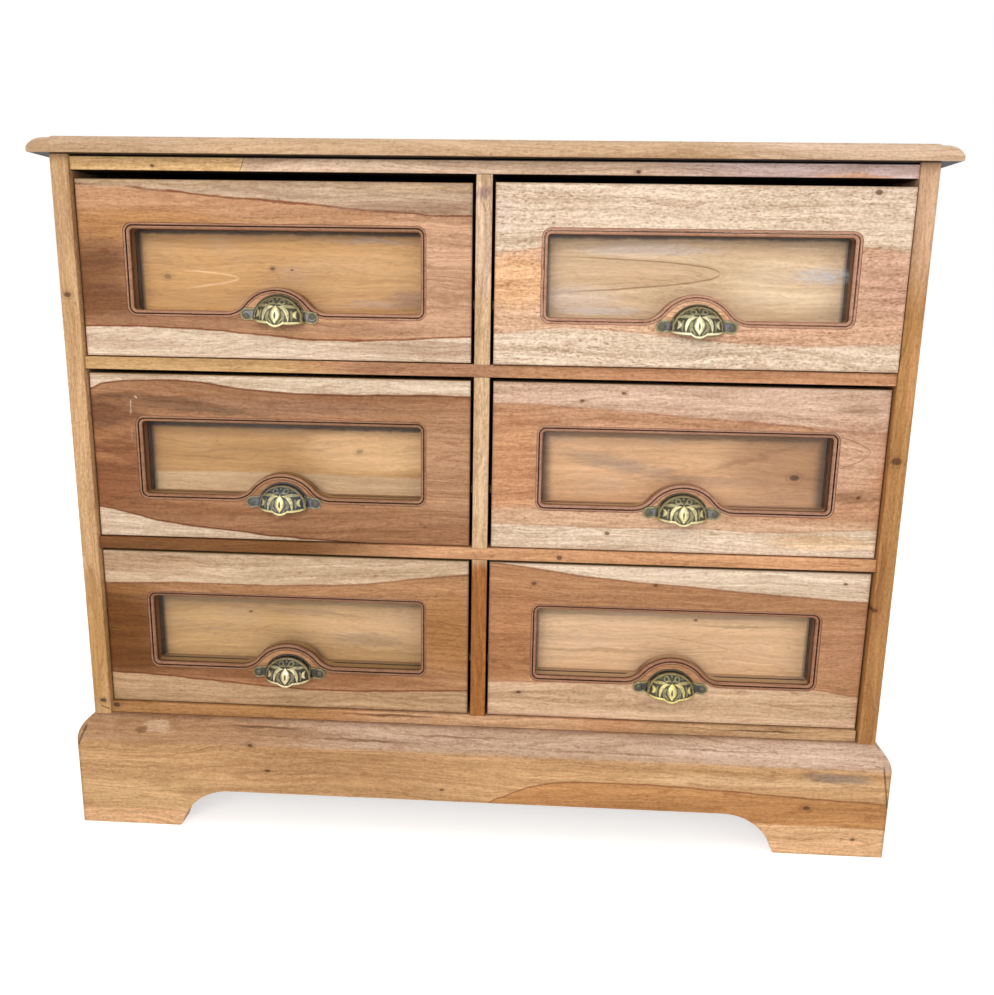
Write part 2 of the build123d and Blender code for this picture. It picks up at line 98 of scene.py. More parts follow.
class Term:
    """A shader value that can stand in a Python expression."""

    def __init__(self, graph: "Graph", socket: bpy.types.NodeSocket) -> None:
        """Wraps one output socket of a graph."""
        self.graph = graph
        self.socket = socket

    def _math(self, operation: str, first: "Value", second: "Value") -> "Term":
        """A Math node on two values."""
        return self.graph.node("ShaderNodeMath", {"operation": operation}, {0: first, 1: second})

    def __add__(self, other: "Value") -> "Term":
        """Sum."""
        return self._math("ADD", self, other)

    __radd__ = __add__

    def __sub__(self, other: "Value") -> "Term":
        """Difference."""
        return self._math("SUBTRACT", self, other)

    def __rsub__(self, other: "Value") -> "Term":
        """Difference from a number."""
        return self._math("SUBTRACT", other, self)

    def __mul__(self, other: "Value") -> "Term":
        """Product."""
        return self._math("MULTIPLY", self, other)

    __rmul__ = __mul__

    def __truediv__(self, other: "Value") -> "Term":
        """Quotient."""
        return self._math("DIVIDE", self, other)

    def __pow__(self, other: "Value") -> "Term":
        """Power."""
        return self._math("POWER", self, other)

    def __abs__(self) -> "Term":
        """Size without its sign."""
        return self._math("ABSOLUTE", self, 0.0)

    def most(self, other: "Value") -> "Term":
        """The larger of two values."""
        return self._math("MAXIMUM", self, other)

    def least(self, other: "Value") -> "Term":
        """The smaller of two values."""
        return self._math("MINIMUM", self, other)

    def sine(self) -> "Term":
        """Sine of an angle in radians."""
        return self._math("SINE", self, 0.0)


Value = Union[float, Term]
Paint = Union[Colour, Term]


class Graph:
    """The node tree of one material, or of the world."""

    def __init__(self, tree: bpy.types.NodeTree) -> None:
        """Starts on an emptied tree."""
        self.tree = tree
        self.tree.nodes.clear()

    def node(
        self,
        kind: str,
        settings: dict[str, Any] | None = None,
        inputs: dict[Any, Any] | None = None,
        output: int | str = 0,
    ) -> Term:
        """One node of any type.

        Args:
            kind: Blender's name of the node type.
            settings: its properties, set first. "stops" gives a ramp's (place, value) pairs.
            inputs: values or terms by socket name or number.
            output: the socket that the returned term reads.

        Returns:
            The term of that output.
        """
        made = self.tree.nodes.new(kind)
        for key, value in (settings or {}).items():
            if key == "stops":
                self._set_stops(made.color_ramp, value)
            elif key == "spread":
                made.color_ramp.interpolation = value
            else:
                setattr(made, key, value)
        for key, value in (inputs or {}).items():
            self._feed(made.inputs[key], value)
        return Term(self, made.outputs[output])

    @staticmethod
    def _set_stops(ramp: bpy.types.ColorRamp, stops: Sequence[Pair]) -> None:
        """Gives a ramp its grey stops."""
        while len(ramp.elements) < len(stops):
            ramp.elements.new(1.0)
        for element, (place, value) in zip(ramp.elements, stops):
            element.position = place
            element.color = (value, value, value, 1.0)

    def _feed(self, socket: bpy.types.NodeSocket, value: Any) -> None:
        """Links a term to a socket, or sets its value."""
        if isinstance(value, Term):
            self.tree.links.new(value.socket, socket)
        elif isinstance(value, Colour):
            socket.default_value = value.linear()
        else:
            socket.default_value = value

    def mix(self, share: Value, first: Paint, second: Paint, blend: str = "MIX") -> Term:
        """Two colours mixed, share being how much of the second shows."""
        settings = {"data_type": "RGBA", "blend_type": blend, "clamp_factor": True}
        return self.node("ShaderNodeMix", settings, {0: share, 6: first, 7: second}, 2)

    def product(self, colour: Term, factors: Term) -> Term:
        """A colour whose channels are multiplied by three factors."""
        settings = {"operation": "MULTIPLY"}
        return self.node("ShaderNodeVectorMath", settings, {0: colour, 1: factors})

    def step(self, value: Value, low: float, high: float) -> Term:
        """0 below low, 1 above high and smooth between. low above high turns it round."""
        inputs = {"Value": value, "From Min": low, "From Max": high}
        return self.node("ShaderNodeMapRange", {"interpolation_type": "SMOOTHSTEP"}, inputs)

    def vector(self, x: Value, y: Value, z: Value) -> Term:
        """A vector from three values."""
        return self.node("ShaderNodeCombineXYZ", {}, {0: x, 1: y, 2: z})

    def noise(self, at: Term, detail: float = 2.0, roughness: float = 0.5) -> Term:
        """Soft noise about 0.5, whose lumps are one unit of the vector apart."""
        inputs = {"Vector": at, "Scale": 1.0, "Detail": detail, "Roughness": roughness}
        return self.node("ShaderNodeTexNoise", {}, inputs)

    def axes(self) -> tuple[Term, Term, Term]:
        """Face-frame X, Y and Z of the point being shaded, in millimetres."""
        place = self.node("ShaderNodeTexCoord", {}, {}, "Object")
        split = self.node("ShaderNodeSeparateXYZ", {}, {0: place}).socket.node
        return tuple(
            Term(self, split.outputs[index]) * (1 / MM) - FACE_ORIGIN[index] for index in range(3)
        )

    def principled(self, **inputs: Any) -> Term:
        """The material's main shader. Underscores in names stand for spaces."""
        named = {key.replace("_", " "): value for key, value in inputs.items()}
        return self.node("ShaderNodeBsdfPrincipled", {}, named)

    def finish(self, shader: Term) -> None:
        """Makes that shader the tree's surface."""
        kind = "ShaderNodeOutputMaterial"
        if isinstance(self.tree.id_data, bpy.types.World):
            kind = "ShaderNodeOutputWorld"
        made = self.tree.nodes.new(kind)
        self.tree.links.new(shader.socket, made.inputs["Surface"])


def new_material(name: str) -> tuple[bpy.types.Material, Graph]:
    """An empty material and its graph."""
    material = bpy.data.materials.new(name)
    material.use_nodes = True
    return material, Graph(material.node_tree)


# ---------------------------------------------------------------- wood


DARK_LINE = Colour(168, 122, 92)  # laid over a wood's colour where a line or a pore darkens it
LATE_WOOD = Colour(176, 132, 104)
# laid over a board's colour to make it darker towards the edges of its face
EDGE_DARKENING = Colour(110, 74, 48)


class Grain(Enum):
    """The axis along which a board's fibres run, as the order (along, across, deep)."""

    SIDEWAYS = (0, 2, 1)
    UPRIGHT = (2, 0, 1)
    BACKWARDS = (1, 2, 0)


@dataclass(frozen=True)
class Lumps:
    """One noise in the wood: the size of its lumps against the fibres, in millimetres."""

    along: float
    across: float
    deep: float
    detail: float = 2.0
    roughness: float = 0.5

    def noise(self, graph: Graph, along: Term, across: Term, deep: Term) -> Term:
        """The noise, about 0.5, at a place given along, across and into the board."""
        at = graph.vector(along / self.along, across / self.across, deep / self.deep)
        return graph.noise(at, self.detail, self.roughness)


WANDER = Lumps(260, 70, 120)  # slow sway of the fibres
RAGGED = Lumps(34, 8, 20, 3.0, 0.6)  # raggedness of the borders between colours
RIPPLE = Lumps(15, 10, 20)  # quick sway of the fibres
BROAD = Lumps(380, 15, 30)  # bands of the grain, from broad down to short
MEDIUM = Lumps(110, 3.6, 9, 3.0, 0.65)
DASH = Lumps(13, 1.8, 2.4, 2.0, 0.6)
PEBBLE = Lumps(3.4, 2.6, 3, 1.0)
CONTOUR = Lumps(300, 26, 60, 1.0)  # its contour lines are the late wood
CONTOUR_DEPTH = 420.0  # depth at which that noise is read, so that it is one of its own
PORES = Lumps(6, 1.2, 1.6, 1.0)
PORE_GROUPS = Lumps(90, 22, 40)


@dataclass
class Timber:
    """What a wood figure needs while a board's colour is worked out."""

    graph: Graph
    x: Term  # face frame, along the front
    z: Term  # face frame, height
    ragged: Term  # noise about 0 with which soft borders wander, in millimetres

    def noise_at(self, width: float, height: float) -> Term:
        """Noise with lumps of that size on the face."""
        return self.graph.noise(self.graph.vector(self.x / width, self.z / height, 0.0))

    def line(self, points: Sequence[Pair]) -> Term:
        """Height of a smooth line through a few places on the face, level beyond its ends."""
        first, last = points[0][0], points[-1][0]
        heights = [point[1] for point in points]
        low, span = min(heights), max(max(heights) - min(heights), 1.0)
        stops = [((px - first) / (last - first), (pz - low) / span) for px, pz in points]
        share = (self.x - first) / (last - first)
        settings = {"spread": "CARDINAL", "stops": stops}
        return self.graph.node("ShaderNodeValToRGB", settings, {0: share}) * span + low


@dataclass(frozen=True)
class Field:
    """Wood of another colour on one side of a wandering line."""

    points: tuple[Pair, ...]
    colour: Colour
    above: bool = False
    soft: float = 1.6
    wander: float = 0.3
    strength: float = 1.0
    line: float = 0.0  # strength of the thin dark growth line along its border

    def paint(self, timber: Timber, colour: Term) -> Term:
        """The colour with this field laid over it."""
        graph = timber.graph
        side = 1.0 if self.above else -1.0
        past = (timber.z + timber.ragged * self.wander - timber.line(self.points)) * side
        share = graph.step(past, -self.soft, self.soft) * self.strength
        colour = graph.mix(share, colour, self.colour)
        if self.line:
            border = graph.step(abs(past + 0.8), 1.7, 0.3) * self.line
            colour = graph.mix(border, colour, DARK_LINE, "MULTIPLY")
        return colour


@dataclass(frozen=True)
class Patch:
    """A soft oval of another colour."""

    x: float
    z: float
    half_width: float
    half_height: float
    colour: Colour
    strength: float = 1.0
    edge: float = 0.5  # share of the oval over which it fades
    wander: float = 1.0
    tilt: float = 0.0  # rise of its long axis for each millimetre along

    def paint(self, timber: Timber, colour: Term) -> Term:
        """The colour with this patch laid over it."""
        graph = timber.graph
        dx = timber.x - self.x
        dz = timber.z - self.z + timber.ragged * self.wander
        if self.tilt:
            dz = dz - dx * self.tilt
        dx = dx / self.half_width
        dz = dz / self.half_height
        share = graph.step(dx * dx + dz * dz, 1.0, (1 - self.edge) ** 2)
        return graph.mix(share * self.strength, colour, self.colour)


@dataclass(frozen=True)
class Knot:
    """A small knot, dark at its heart, with rings round it."""

    x: float
    z: float
    radius: float
    colour: Colour = Colour(96, 58, 34)
    strength: float = 0.85

    def paint(self, timber: Timber, colour: Term) -> Term:
        """The colour with this knot laid over it."""
        graph = timber.graph
        dx = (timber.x - self.x) / (self.radius * 1.5)
        dz = (timber.z - self.z + timber.ragged * 0.3) / self.radius
        away = (dx * dx + dz * dz) ** 0.5
        rings = (away * 9.0).sine() * 0.5 + 0.5
        halo = graph.step(away, 2.4, 0.8) * (rings * 0.35 + 0.1)
        heart = graph.step(away, 1.0, 0.45)
        return graph.mix((halo + heart).least(1.0) * self.strength, colour, self.colour)


@dataclass(frozen=True)
class Loop:
    """One pointed growth loop of flat-sawn wood, open to the left."""

    tip: Pair
    length: float
    half_height: float  # of the loop at that length
    colour: Colour
    width: float = 1.3
    strength: float = 0.6
    lean: float = 0.0  # rise of its middle line for each millimetre along
    blunt: float = 0.6  # power of the way back from the tip, less for a rounder point

    def paint(self, timber: Timber, colour: Term) -> Term:
        """The colour with this loop laid over it: a parabola whose point is at the right."""
        graph = timber.graph
        back = self.tip[0] - timber.x
        middle = timber.z - self.tip[1] + back * self.lean + timber.ragged * 0.12
        share = (back / self.length).most(0.0).least(1.0)
        border = (share**self.blunt) * self.half_height
        off = abs(abs(middle) - border)
        line = graph.step(off, self.width, self.width * 0.25)
        line = line * graph.step(back, -1.5, 1.0) * graph.step(back, self.length, self.length * 0.6)
        return graph.mix(line * self.strength, colour, self.colour)


@dataclass(frozen=True)
class Shade:
    """Painted shadow round a window's sight edges, on what lies behind the glass."""

    left: float
    right: float
    low: float
    high: float
    drop: float = 7.0  # how far it hangs down from the upper edge
    side: float = 5.0
    colour: Colour = Colour(66, 58, 52)
    strength: float = 0.9

    def paint(self, timber: Timber, colour: Term) -> Term:
        """The colour, dark above a ragged line and along both ends."""
        graph = timber.graph
        ragged = timber.noise_at(26.0, 60.0) * 5.0 + timber.noise_at(5.0, 40.0) * 2.0 - 3.5
        down = timber.z * -1.0 + self.high + ragged
        top = graph.step(down, self.drop, self.drop * 0.35) * self.strength
        soft = graph.step(down, self.drop * 2.2, self.drop * 0.6) * 0.2
        ends = (timber.x - self.left).least(timber.x * -1.0 + self.right) + ragged * 0.3
        beside = graph.step(ends, self.side, 0.0) * 0.75
        share = top.most(soft).most(beside).least(1.0)
        return graph.mix(share, colour, self.colour)


@dataclass(frozen=True)
class Scratch:
    """A thin straight line between two places."""

    start: Pair
    end: Pair
    width: float
    colour: Colour
    strength: float = 0.7

    def paint(self, timber: Timber, colour: Term) -> Term:
        """The colour with this line laid over it."""
        graph = timber.graph
        length = math.dist(self.start, self.end)
        ux = (self.end[0] - self.start[0]) / length
        uz = (self.end[1] - self.start[1]) / length
        dx = timber.x - self.start[0]
        dz = timber.z - self.start[1]
        along = dx * ux + dz * uz
        off = abs(dz * ux - dx * uz + timber.ragged * 0.15)
        share = graph.step(off, self.width, self.width * 0.3)
        share = share * graph.step(abs(along - length / 2), length / 2, length * 0.35)
        return graph.mix(share * self.strength, colour, self.colour)


Figure = Union[Field, Patch, Knot, Loop, Shade, Scratch]


@dataclass(frozen=True)
class Wood:
    """Finish of one waxed hardwood board."""

    name: str
    body: Colour
    grain: Grain = Grain.SIDEWAYS
    figures: tuple[Figure, ...] = ()
    seed: float = 0.0
    streaks: float = 1.0  # contrast of the grain
    pores: float = 0.4  # strength of the short dark dashes
    pebble: float = 0.5  # contrast of the small mottle across the grain
    lines: float = 0.3  # strength of the thin late-wood lines
    wave: float = 9.0  # how far the grain wanders, in millimetres
    roughness: float = 0.5
    relief: float = 0.25
    rim: float = 0.25  # darkening along the board's own edges
    rim_box: tuple[Triple, Triple] | None = None
    quirk: Colour | None = None  # painted shade: colour of the grooves and the wall that the piece's quirk attribute marks
    painted_shade_off_front: Colour | None = None  # painted shade: colour of the faces that look down or sideways, off the front
    painted_upward_light: Colour | None = None  # painted light: colour of the faces that look up, where light falls on them
    under: Colour | None = None  # painted shade: colour of the underside, behind its front arris

    def material(self) -> bpy.types.Material:
        """The material, from nodes on Object coordinates.

        Noises stretched along the fibres, from broad bands down to short dashes, lighten and darken
        the figures' colours. The late-wood lines are contour lines of one more broad noise.
        """
        material, graph = new_material(self.name)
        axes = graph.axes()
        along, across, deep = (axes[index] for index in self.grain.value)
        along = along + self.seed * 137.0
        wander = WANDER.noise(graph, along, across, deep)
        ragged = (RAGGED.noise(graph, along, across, deep) - 0.5) * 14.0
        ripple = RIPPLE.noise(graph, along, across, deep)
        timber = Timber(graph, axes[0], axes[2], ragged)

        colour: Term = graph.mix(0.0, self.body, self.body)
        for figure in self.figures:
            colour = figure.paint(timber, colour)

        flow = across + (wander - 0.5) * (4 * self.wave) + (ripple - 0.5) * 4.0
        broad = BROAD.noise(graph, along, flow, deep)
        medium = MEDIUM.noise(graph, along, flow, deep)
        dash = DASH.noise(graph, along, flow, deep)
        pebble = PEBBLE.noise(graph, along, across, deep)
        tone = (broad - 0.5) * 1.0 + (medium - 0.5) * 1.1 + (dash - 0.5) * 0.65
        tone = tone * self.streaks + (pebble - 0.5) * self.pebble
        colour = graph.product(
            colour, graph.vector(tone * 0.85 + 1.0, tone + 1.0, tone * 1.2 + 1.0)
        )

        contour = CONTOUR.noise(graph, along, flow, deep + CONTOUR_DEPTH)
        line = graph.step((contour * 62.0 + ripple * 1.5).sine(), 0.72, 0.98)
        line = line * graph.step(medium, 0.36, 0.56) * self.lines
        colour = graph.mix(line, colour, LATE_WOOD, "MULTIPLY")

        groups = graph.step(PORE_GROUPS.noise(graph, along, across, deep), 0.25, 0.55)
        pore = graph.step(PORES.noise(graph, along, flow, deep), 0.57, 0.7) * groups
        colour = graph.mix(pore * self.pores, colour, DARK_LINE, "MULTIPLY")
        if self.rim_box is not None:
            colour = graph.mix(self._near_edge(graph, axes), colour, EDGE_DARKENING, "MULTIPLY")
        if self.quirk is not None:
            # painted shade: the quirk attribute darkens the moulding's creases and its wall down to
            # the glass
            groove = graph.node("ShaderNodeAttribute", {"attribute_name": "quirk"}, {}, "Fac")
            colour = graph.mix(graph.step(groove, 0.25, 0.95) * 0.9, colour, self.quirk)
        # painted light: faces that look up take a lighter colour; on a moulding only its wall to the
        # glass does
        if self.painted_upward_light is not None:
            facing = graph.step(self._normal(graph, 2), 0.3, 0.8)
            if self.quirk is not None:
                facing = facing * graph.step(groove, 1.2, 1.8)
            colour = graph.mix(facing, colour, self.painted_upward_light)
        # painted shade: faces that look down or sideways take a darker colour, as in gaps and under
        # parts
        if self.painted_shade_off_front is not None:
            colour = graph.mix(self._off_front(graph), colour, self.painted_shade_off_front)
        # painted shade: downward faces behind the front arris take the under colour
        if self.under is not None:
            below = graph.step(self._normal(graph, 2), -0.7, -0.95)
            colour = graph.mix(below * graph.step(axes[1], -14.0, -10.0), colour, self.under)

        rough = tone * -0.12 + self.roughness
        height = dash * 0.5 + medium * 0.3 - pore * 0.9
        bump_inputs = {"Strength": self.relief, "Distance": 0.0004, "Height": height}
        bump = graph.node("ShaderNodeBump", {}, bump_inputs)
        shader = graph.principled(
            Base_Color=colour, Roughness=rough, Normal=bump, Specular_IOR_Level=0.18
        )
        graph.finish(shader)
        return material

    @staticmethod
    def _off_front(graph: Graph) -> Term:
        """1 on faces that look down or sideways, 0 on those that look forward or up."""
        down = graph.step(Wood._normal(graph, 2), -0.35, -0.9)
        beside = graph.step(abs(Wood._normal(graph, 0)), 0.35, 0.9)
        return down.most(beside)

    @staticmethod
    def _normal(graph: Graph, index: int) -> Term:
        """One coordinate of the surface's normal."""
        normal = graph.node("ShaderNodeNewGeometry", {}, {}, "Normal")
        return graph.node("ShaderNodeSeparateXYZ", {}, {0: normal}, index)

    def _near_edge(self, graph: Graph, axes: tuple[Term, Term, Term]) -> Term:
        """How near a point is to the edges of its board's face, from 0 to rim."""
        low, high = self.rim_box
        nearest = None
        for index in (0, 2):
            for gap in (axes[index] - low[index], high[index] - axes[index]):
                nearest = gap if nearest is None else nearest.least(gap)
        return graph.step(nearest, 3.5, 0.2) * self.rim


def face_box(node: str) -> tuple[Triple, Triple]:
    """A node's box in the face frame, in millimetres."""
    low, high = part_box(node)
    return (
        tuple(low[index] / MM - FACE_ORIGIN[index] for index in range(3)),
        tuple(high[index] / MM - FACE_ORIGIN[index] for index in range(3)),
    )


# ---------------------------------------------------------------- other finishes


@dataclass(frozen=True)
class PaneGlass:
    """Clear window glass, a little dusty, with a painted pale reflection in one place."""

    name: str
    haze: float = 0.012
    painted_reflection: tuple[float, float, float, float] | None = None  # painted reflection: x, z, half width, half height

    def material(self) -> bpy.types.Material:
        """The material. Its outer faces' alpha rises towards grazing views, as a gloss does."""
        material, graph = new_material(self.name)
        x, y, z = graph.axes()
        dust = graph.noise(graph.vector(x / 60, y / 60, z / 22), 3.0, 0.6)
        gloss = (graph.node("ShaderNodeFresnel", {}, {"IOR": 1.5}) - 0.035).most(0.0)
        outer = 1.0 - graph.node("ShaderNodeNewGeometry", {}, {}, "Backfacing")
        cover = graph.step(dust, 0.45, 0.8) * 0.03 + gloss * outer * 0.6 + self.haze
        # painted reflection: a pale streak added to the glass's cover
        if self.painted_reflection is not None:
            sx, sz, half_width, half_height = self.painted_reflection
            dx = (x - sx) / half_width
            dz = (z - sz) / half_height
            streak = graph.noise(graph.vector(x / 12, 0.0, z / 3.0), 3.0, 0.7)
            spot = graph.step(dx * dx + dz * dz, 1.0, 0.0) * graph.step(streak, 0.3, 0.7)
            cover = cover + spot * 0.36
        shader = graph.principled(
            Base_Color=Colour(222, 228, 242), Roughness=0.08, Alpha=cover.least(1.0), IOR=1.5
        )
        graph.finish(shader)
        material.surface_render_method = "BLENDED"
        return material


@dataclass(frozen=True)
class Brass:
    """Antique brass: dark green-grey in the hollows and yellow where hands have rubbed it."""

    name: str
    hollow: Colour = Colour(92, 88, 66)
    middle: Colour = Colour(150, 142, 106)
    rubbed: Colour = Colour(232, 220, 168)
    tarnish: Colour = Colour(122, 120, 122)  # where the relief attribute is below zero
    uses_relief: bool = True

    def material(self) -> bpy.types.Material:
        """The material, led by the piece's relief attribute where it has one."""
        material, graph = new_material(self.name)
        x, y, z = graph.axes()
        mottle = graph.noise(graph.vector(x / 3.2, y / 3.2, z / 3.2), 3.0, 0.65)
        grit = graph.noise(graph.vector(x / 0.8, y / 0.8, z / 0.8), 2.0)
        if self.uses_relief:
            height = graph.node("ShaderNodeAttribute", {"attribute_name": "relief"}, {}, "Fac")
        else:
            height = graph.vector(0.45, 0.45, 0.45)
            height = graph.node("ShaderNodeSeparateXYZ", {}, {0: height})
        level = height + (mottle - 0.5) * 0.7
        colour = graph.mix(graph.step(level, 0.05, 0.5), self.hollow, self.middle)
        bright = graph.step(level, 0.45, 0.95)
        colour = graph.mix(bright, colour, self.rubbed)
        if self.uses_relief:
            colour = graph.mix(graph.step(height, -0.1, -0.5), colour, self.tarnish)
        rough = 0.52 - bright * 0.2 + (grit - 0.5) * 0.15
        metal = bright * 0.25 + 0.7
        inputs = {"Strength": 0.25, "Distance": 0.0003, "Height": grit + mottle}
        bump = graph.node("ShaderNodeBump", {}, inputs)
        graph.finish(
            graph.principled(Base_Color=colour, Roughness=rough, Metallic=metal, Normal=bump)
        )
        return material


# ---------------------------------------------------------------- surfaces


def tube_faces(rows: int, columns: int, caps: bool, loop: bool) -> list[tuple[int, ...]]:
    """Faces of a grid of rows by columns whose columns close on themselves.

    Args:
        rows: stations along the path.
        columns: points round each section.
        caps: whether the two end sections are closed by a face.
        loop: whether the last station joins the first.

    Returns:
        Vertex numbers of each face.
    """
    last = rows if loop else rows - 1
    row = np.arange(last)[:, None]
    column = np.arange(columns)[None, :]
    ahead = (row + 1) % rows
    beside = (column + 1) % columns
    corners = [row * columns + column, row * columns + beside]
    corners += [ahead * columns + beside, ahead * columns + column]
    faces = np.stack([np.broadcast_to(c, (last, columns)) for c in corners], axis=-1)
    result = [tuple(face) for face in faces.reshape(-1, 4).tolist()]
    if caps and not loop:
        result.append(tuple(range(columns - 1, -1, -1)))
        result.append(tuple(range((rows - 1) * columns, rows * columns)))
    return result


@dataclass
class Surface:
    """Points, faces and one value for each point, gathered from several shells."""

    points: list[np.ndarray] = field(default_factory=list)
    faces: list[tuple[int, ...]] = field(default_factory=list)
    values: list[np.ndarray] = field(default_factory=list)

    def add_tube(
        self, grid: np.ndarray, value: np.ndarray, caps: bool = True, loop: bool = False
    ) -> None:
        """Adds a tube of stations by section points.

        Args:
            grid: array of stations, section points and 3 coordinates, in millimetres.
            value: array of stations by section points.
            caps: whether its ends are closed.
            loop: whether it closes on itself.
        """
        start = sum(len(part) for part in self.points)
        rows, columns = grid.shape[:2]
        faces = tube_faces(rows, columns, caps, loop)
        self.faces += [tuple(start + corner for corner in face) for face in faces]
        self.points.append(grid.reshape(-1, 3))
        self.values.append(np.broadcast_to(value, (rows, columns)).reshape(-1))

    def to_object(self, name: str, attribute: str, origin: Vector) -> bpy.types.Object:
        """The mesh object, its points placed at origin, in metres.

        Args:
            name: name of the piece.
            attribute: name under which the points' values are kept.
            origin: where the surface's own zero lies, in metres.

        Returns:
            The new object, smooth shaded, with outward normals.
        """
        mesh = bpy.data.meshes.new(name)
        points = np.concatenate(self.points) * MM + np.array(origin)
        mesh.from_pydata(points.tolist(), [], self.faces)
        layer = mesh.attributes.new(attribute, "FLOAT", "POINT")
        layer.data.foreach_set("value", np.concatenate(self.values).astype(np.float32))
        mesh.polygons.foreach_set("use_smooth", np.ones(len(mesh.polygons), bool))
        mesh.update()
        piece = bpy.data.objects.new(name, mesh)
        bpy.context.scene.collection.objects.link(piece)
        turn_outwards(mesh)
        return piece


def turn_outwards(mesh: bpy.types.Mesh) -> None:
    """Recalculates a closed mesh's normals so that they point out of it."""
    work = bmesh.new()
    work.from_mesh(mesh)
    bmesh.ops.remove_doubles(work, verts=work.verts, dist=1e-6)
    bmesh.ops.recalc_face_normals(work, faces=work.faces)
    work.to_mesh(mesh)
    work.free()


def curve_distance(
    x: np.ndarray, z: np.ndarray, start: Pair, bend: Pair, end: Pair
) -> tuple[np.ndarray, np.ndarray]:
    """Distance of points from a quadratic curve, and how far along it the nearest place is.

    The curve is (1-t)^2 start + 2 t (1-t) bend + t^2 end. It is tried at evenly spaced t, and the
    nearest of those places counts.
    """
    t = np.linspace(0, 1, 41)
    cx = (1 - t) ** 2 * start[0] + 2 * t * (1 - t) * bend[0] + t**2 * end[0]
    cz = (1 - t) ** 2 * start[1] + 2 * t * (1 - t) * bend[1] + t**2 * end[1]
    gaps = np.hypot(x[..., None] - cx, z[..., None] - cz)
    nearest = gaps.argmin(axis=-1)
    return gaps.min(axis=-1), t[nearest]


def dome(off: np.ndarray, half_width: float, height: float, power: float = 2) -> np.ndarray:
    """A rounded ridge: height times the root of 1 less (off over half width) to a power."""
    return height * np.clip(1 - (off / half_width) ** power, 0, 1) ** 0.5


@dataclass(frozen=True)
class Leaf:
    """One raised leaf of the pull's ornament, on a curved midrib."""

    start: Pair
    bend: Pair
    end: Pair
    half_width: float
    height: float = 0.9
    vein: float = 0.0  # depth of the groove along its midrib
    blunt: float = 1.0  # 1 for points at both ends, less for rounder ends

    def rise(self, x: np.ndarray, z: np.ndarray) -> np.ndarray:
        """Height over the ground: a round section whose width goes as the sine of the way along."""
        off, t = curve_distance(x, z, self.start, self.bend, self.end)
        width = self.half_width * np.sin(np.pi * np.clip(t, 0.02, 0.98)) ** self.blunt + 0.05
        inside = np.clip(1 - (off / width) ** 2, 0, 1)
        groove = self.vein * np.exp(-((off / 0.55) ** 2)) * np.sin(np.pi * t)
        return np.clip(self.height * inside**0.5 - groove * (inside > 0), 0, None)


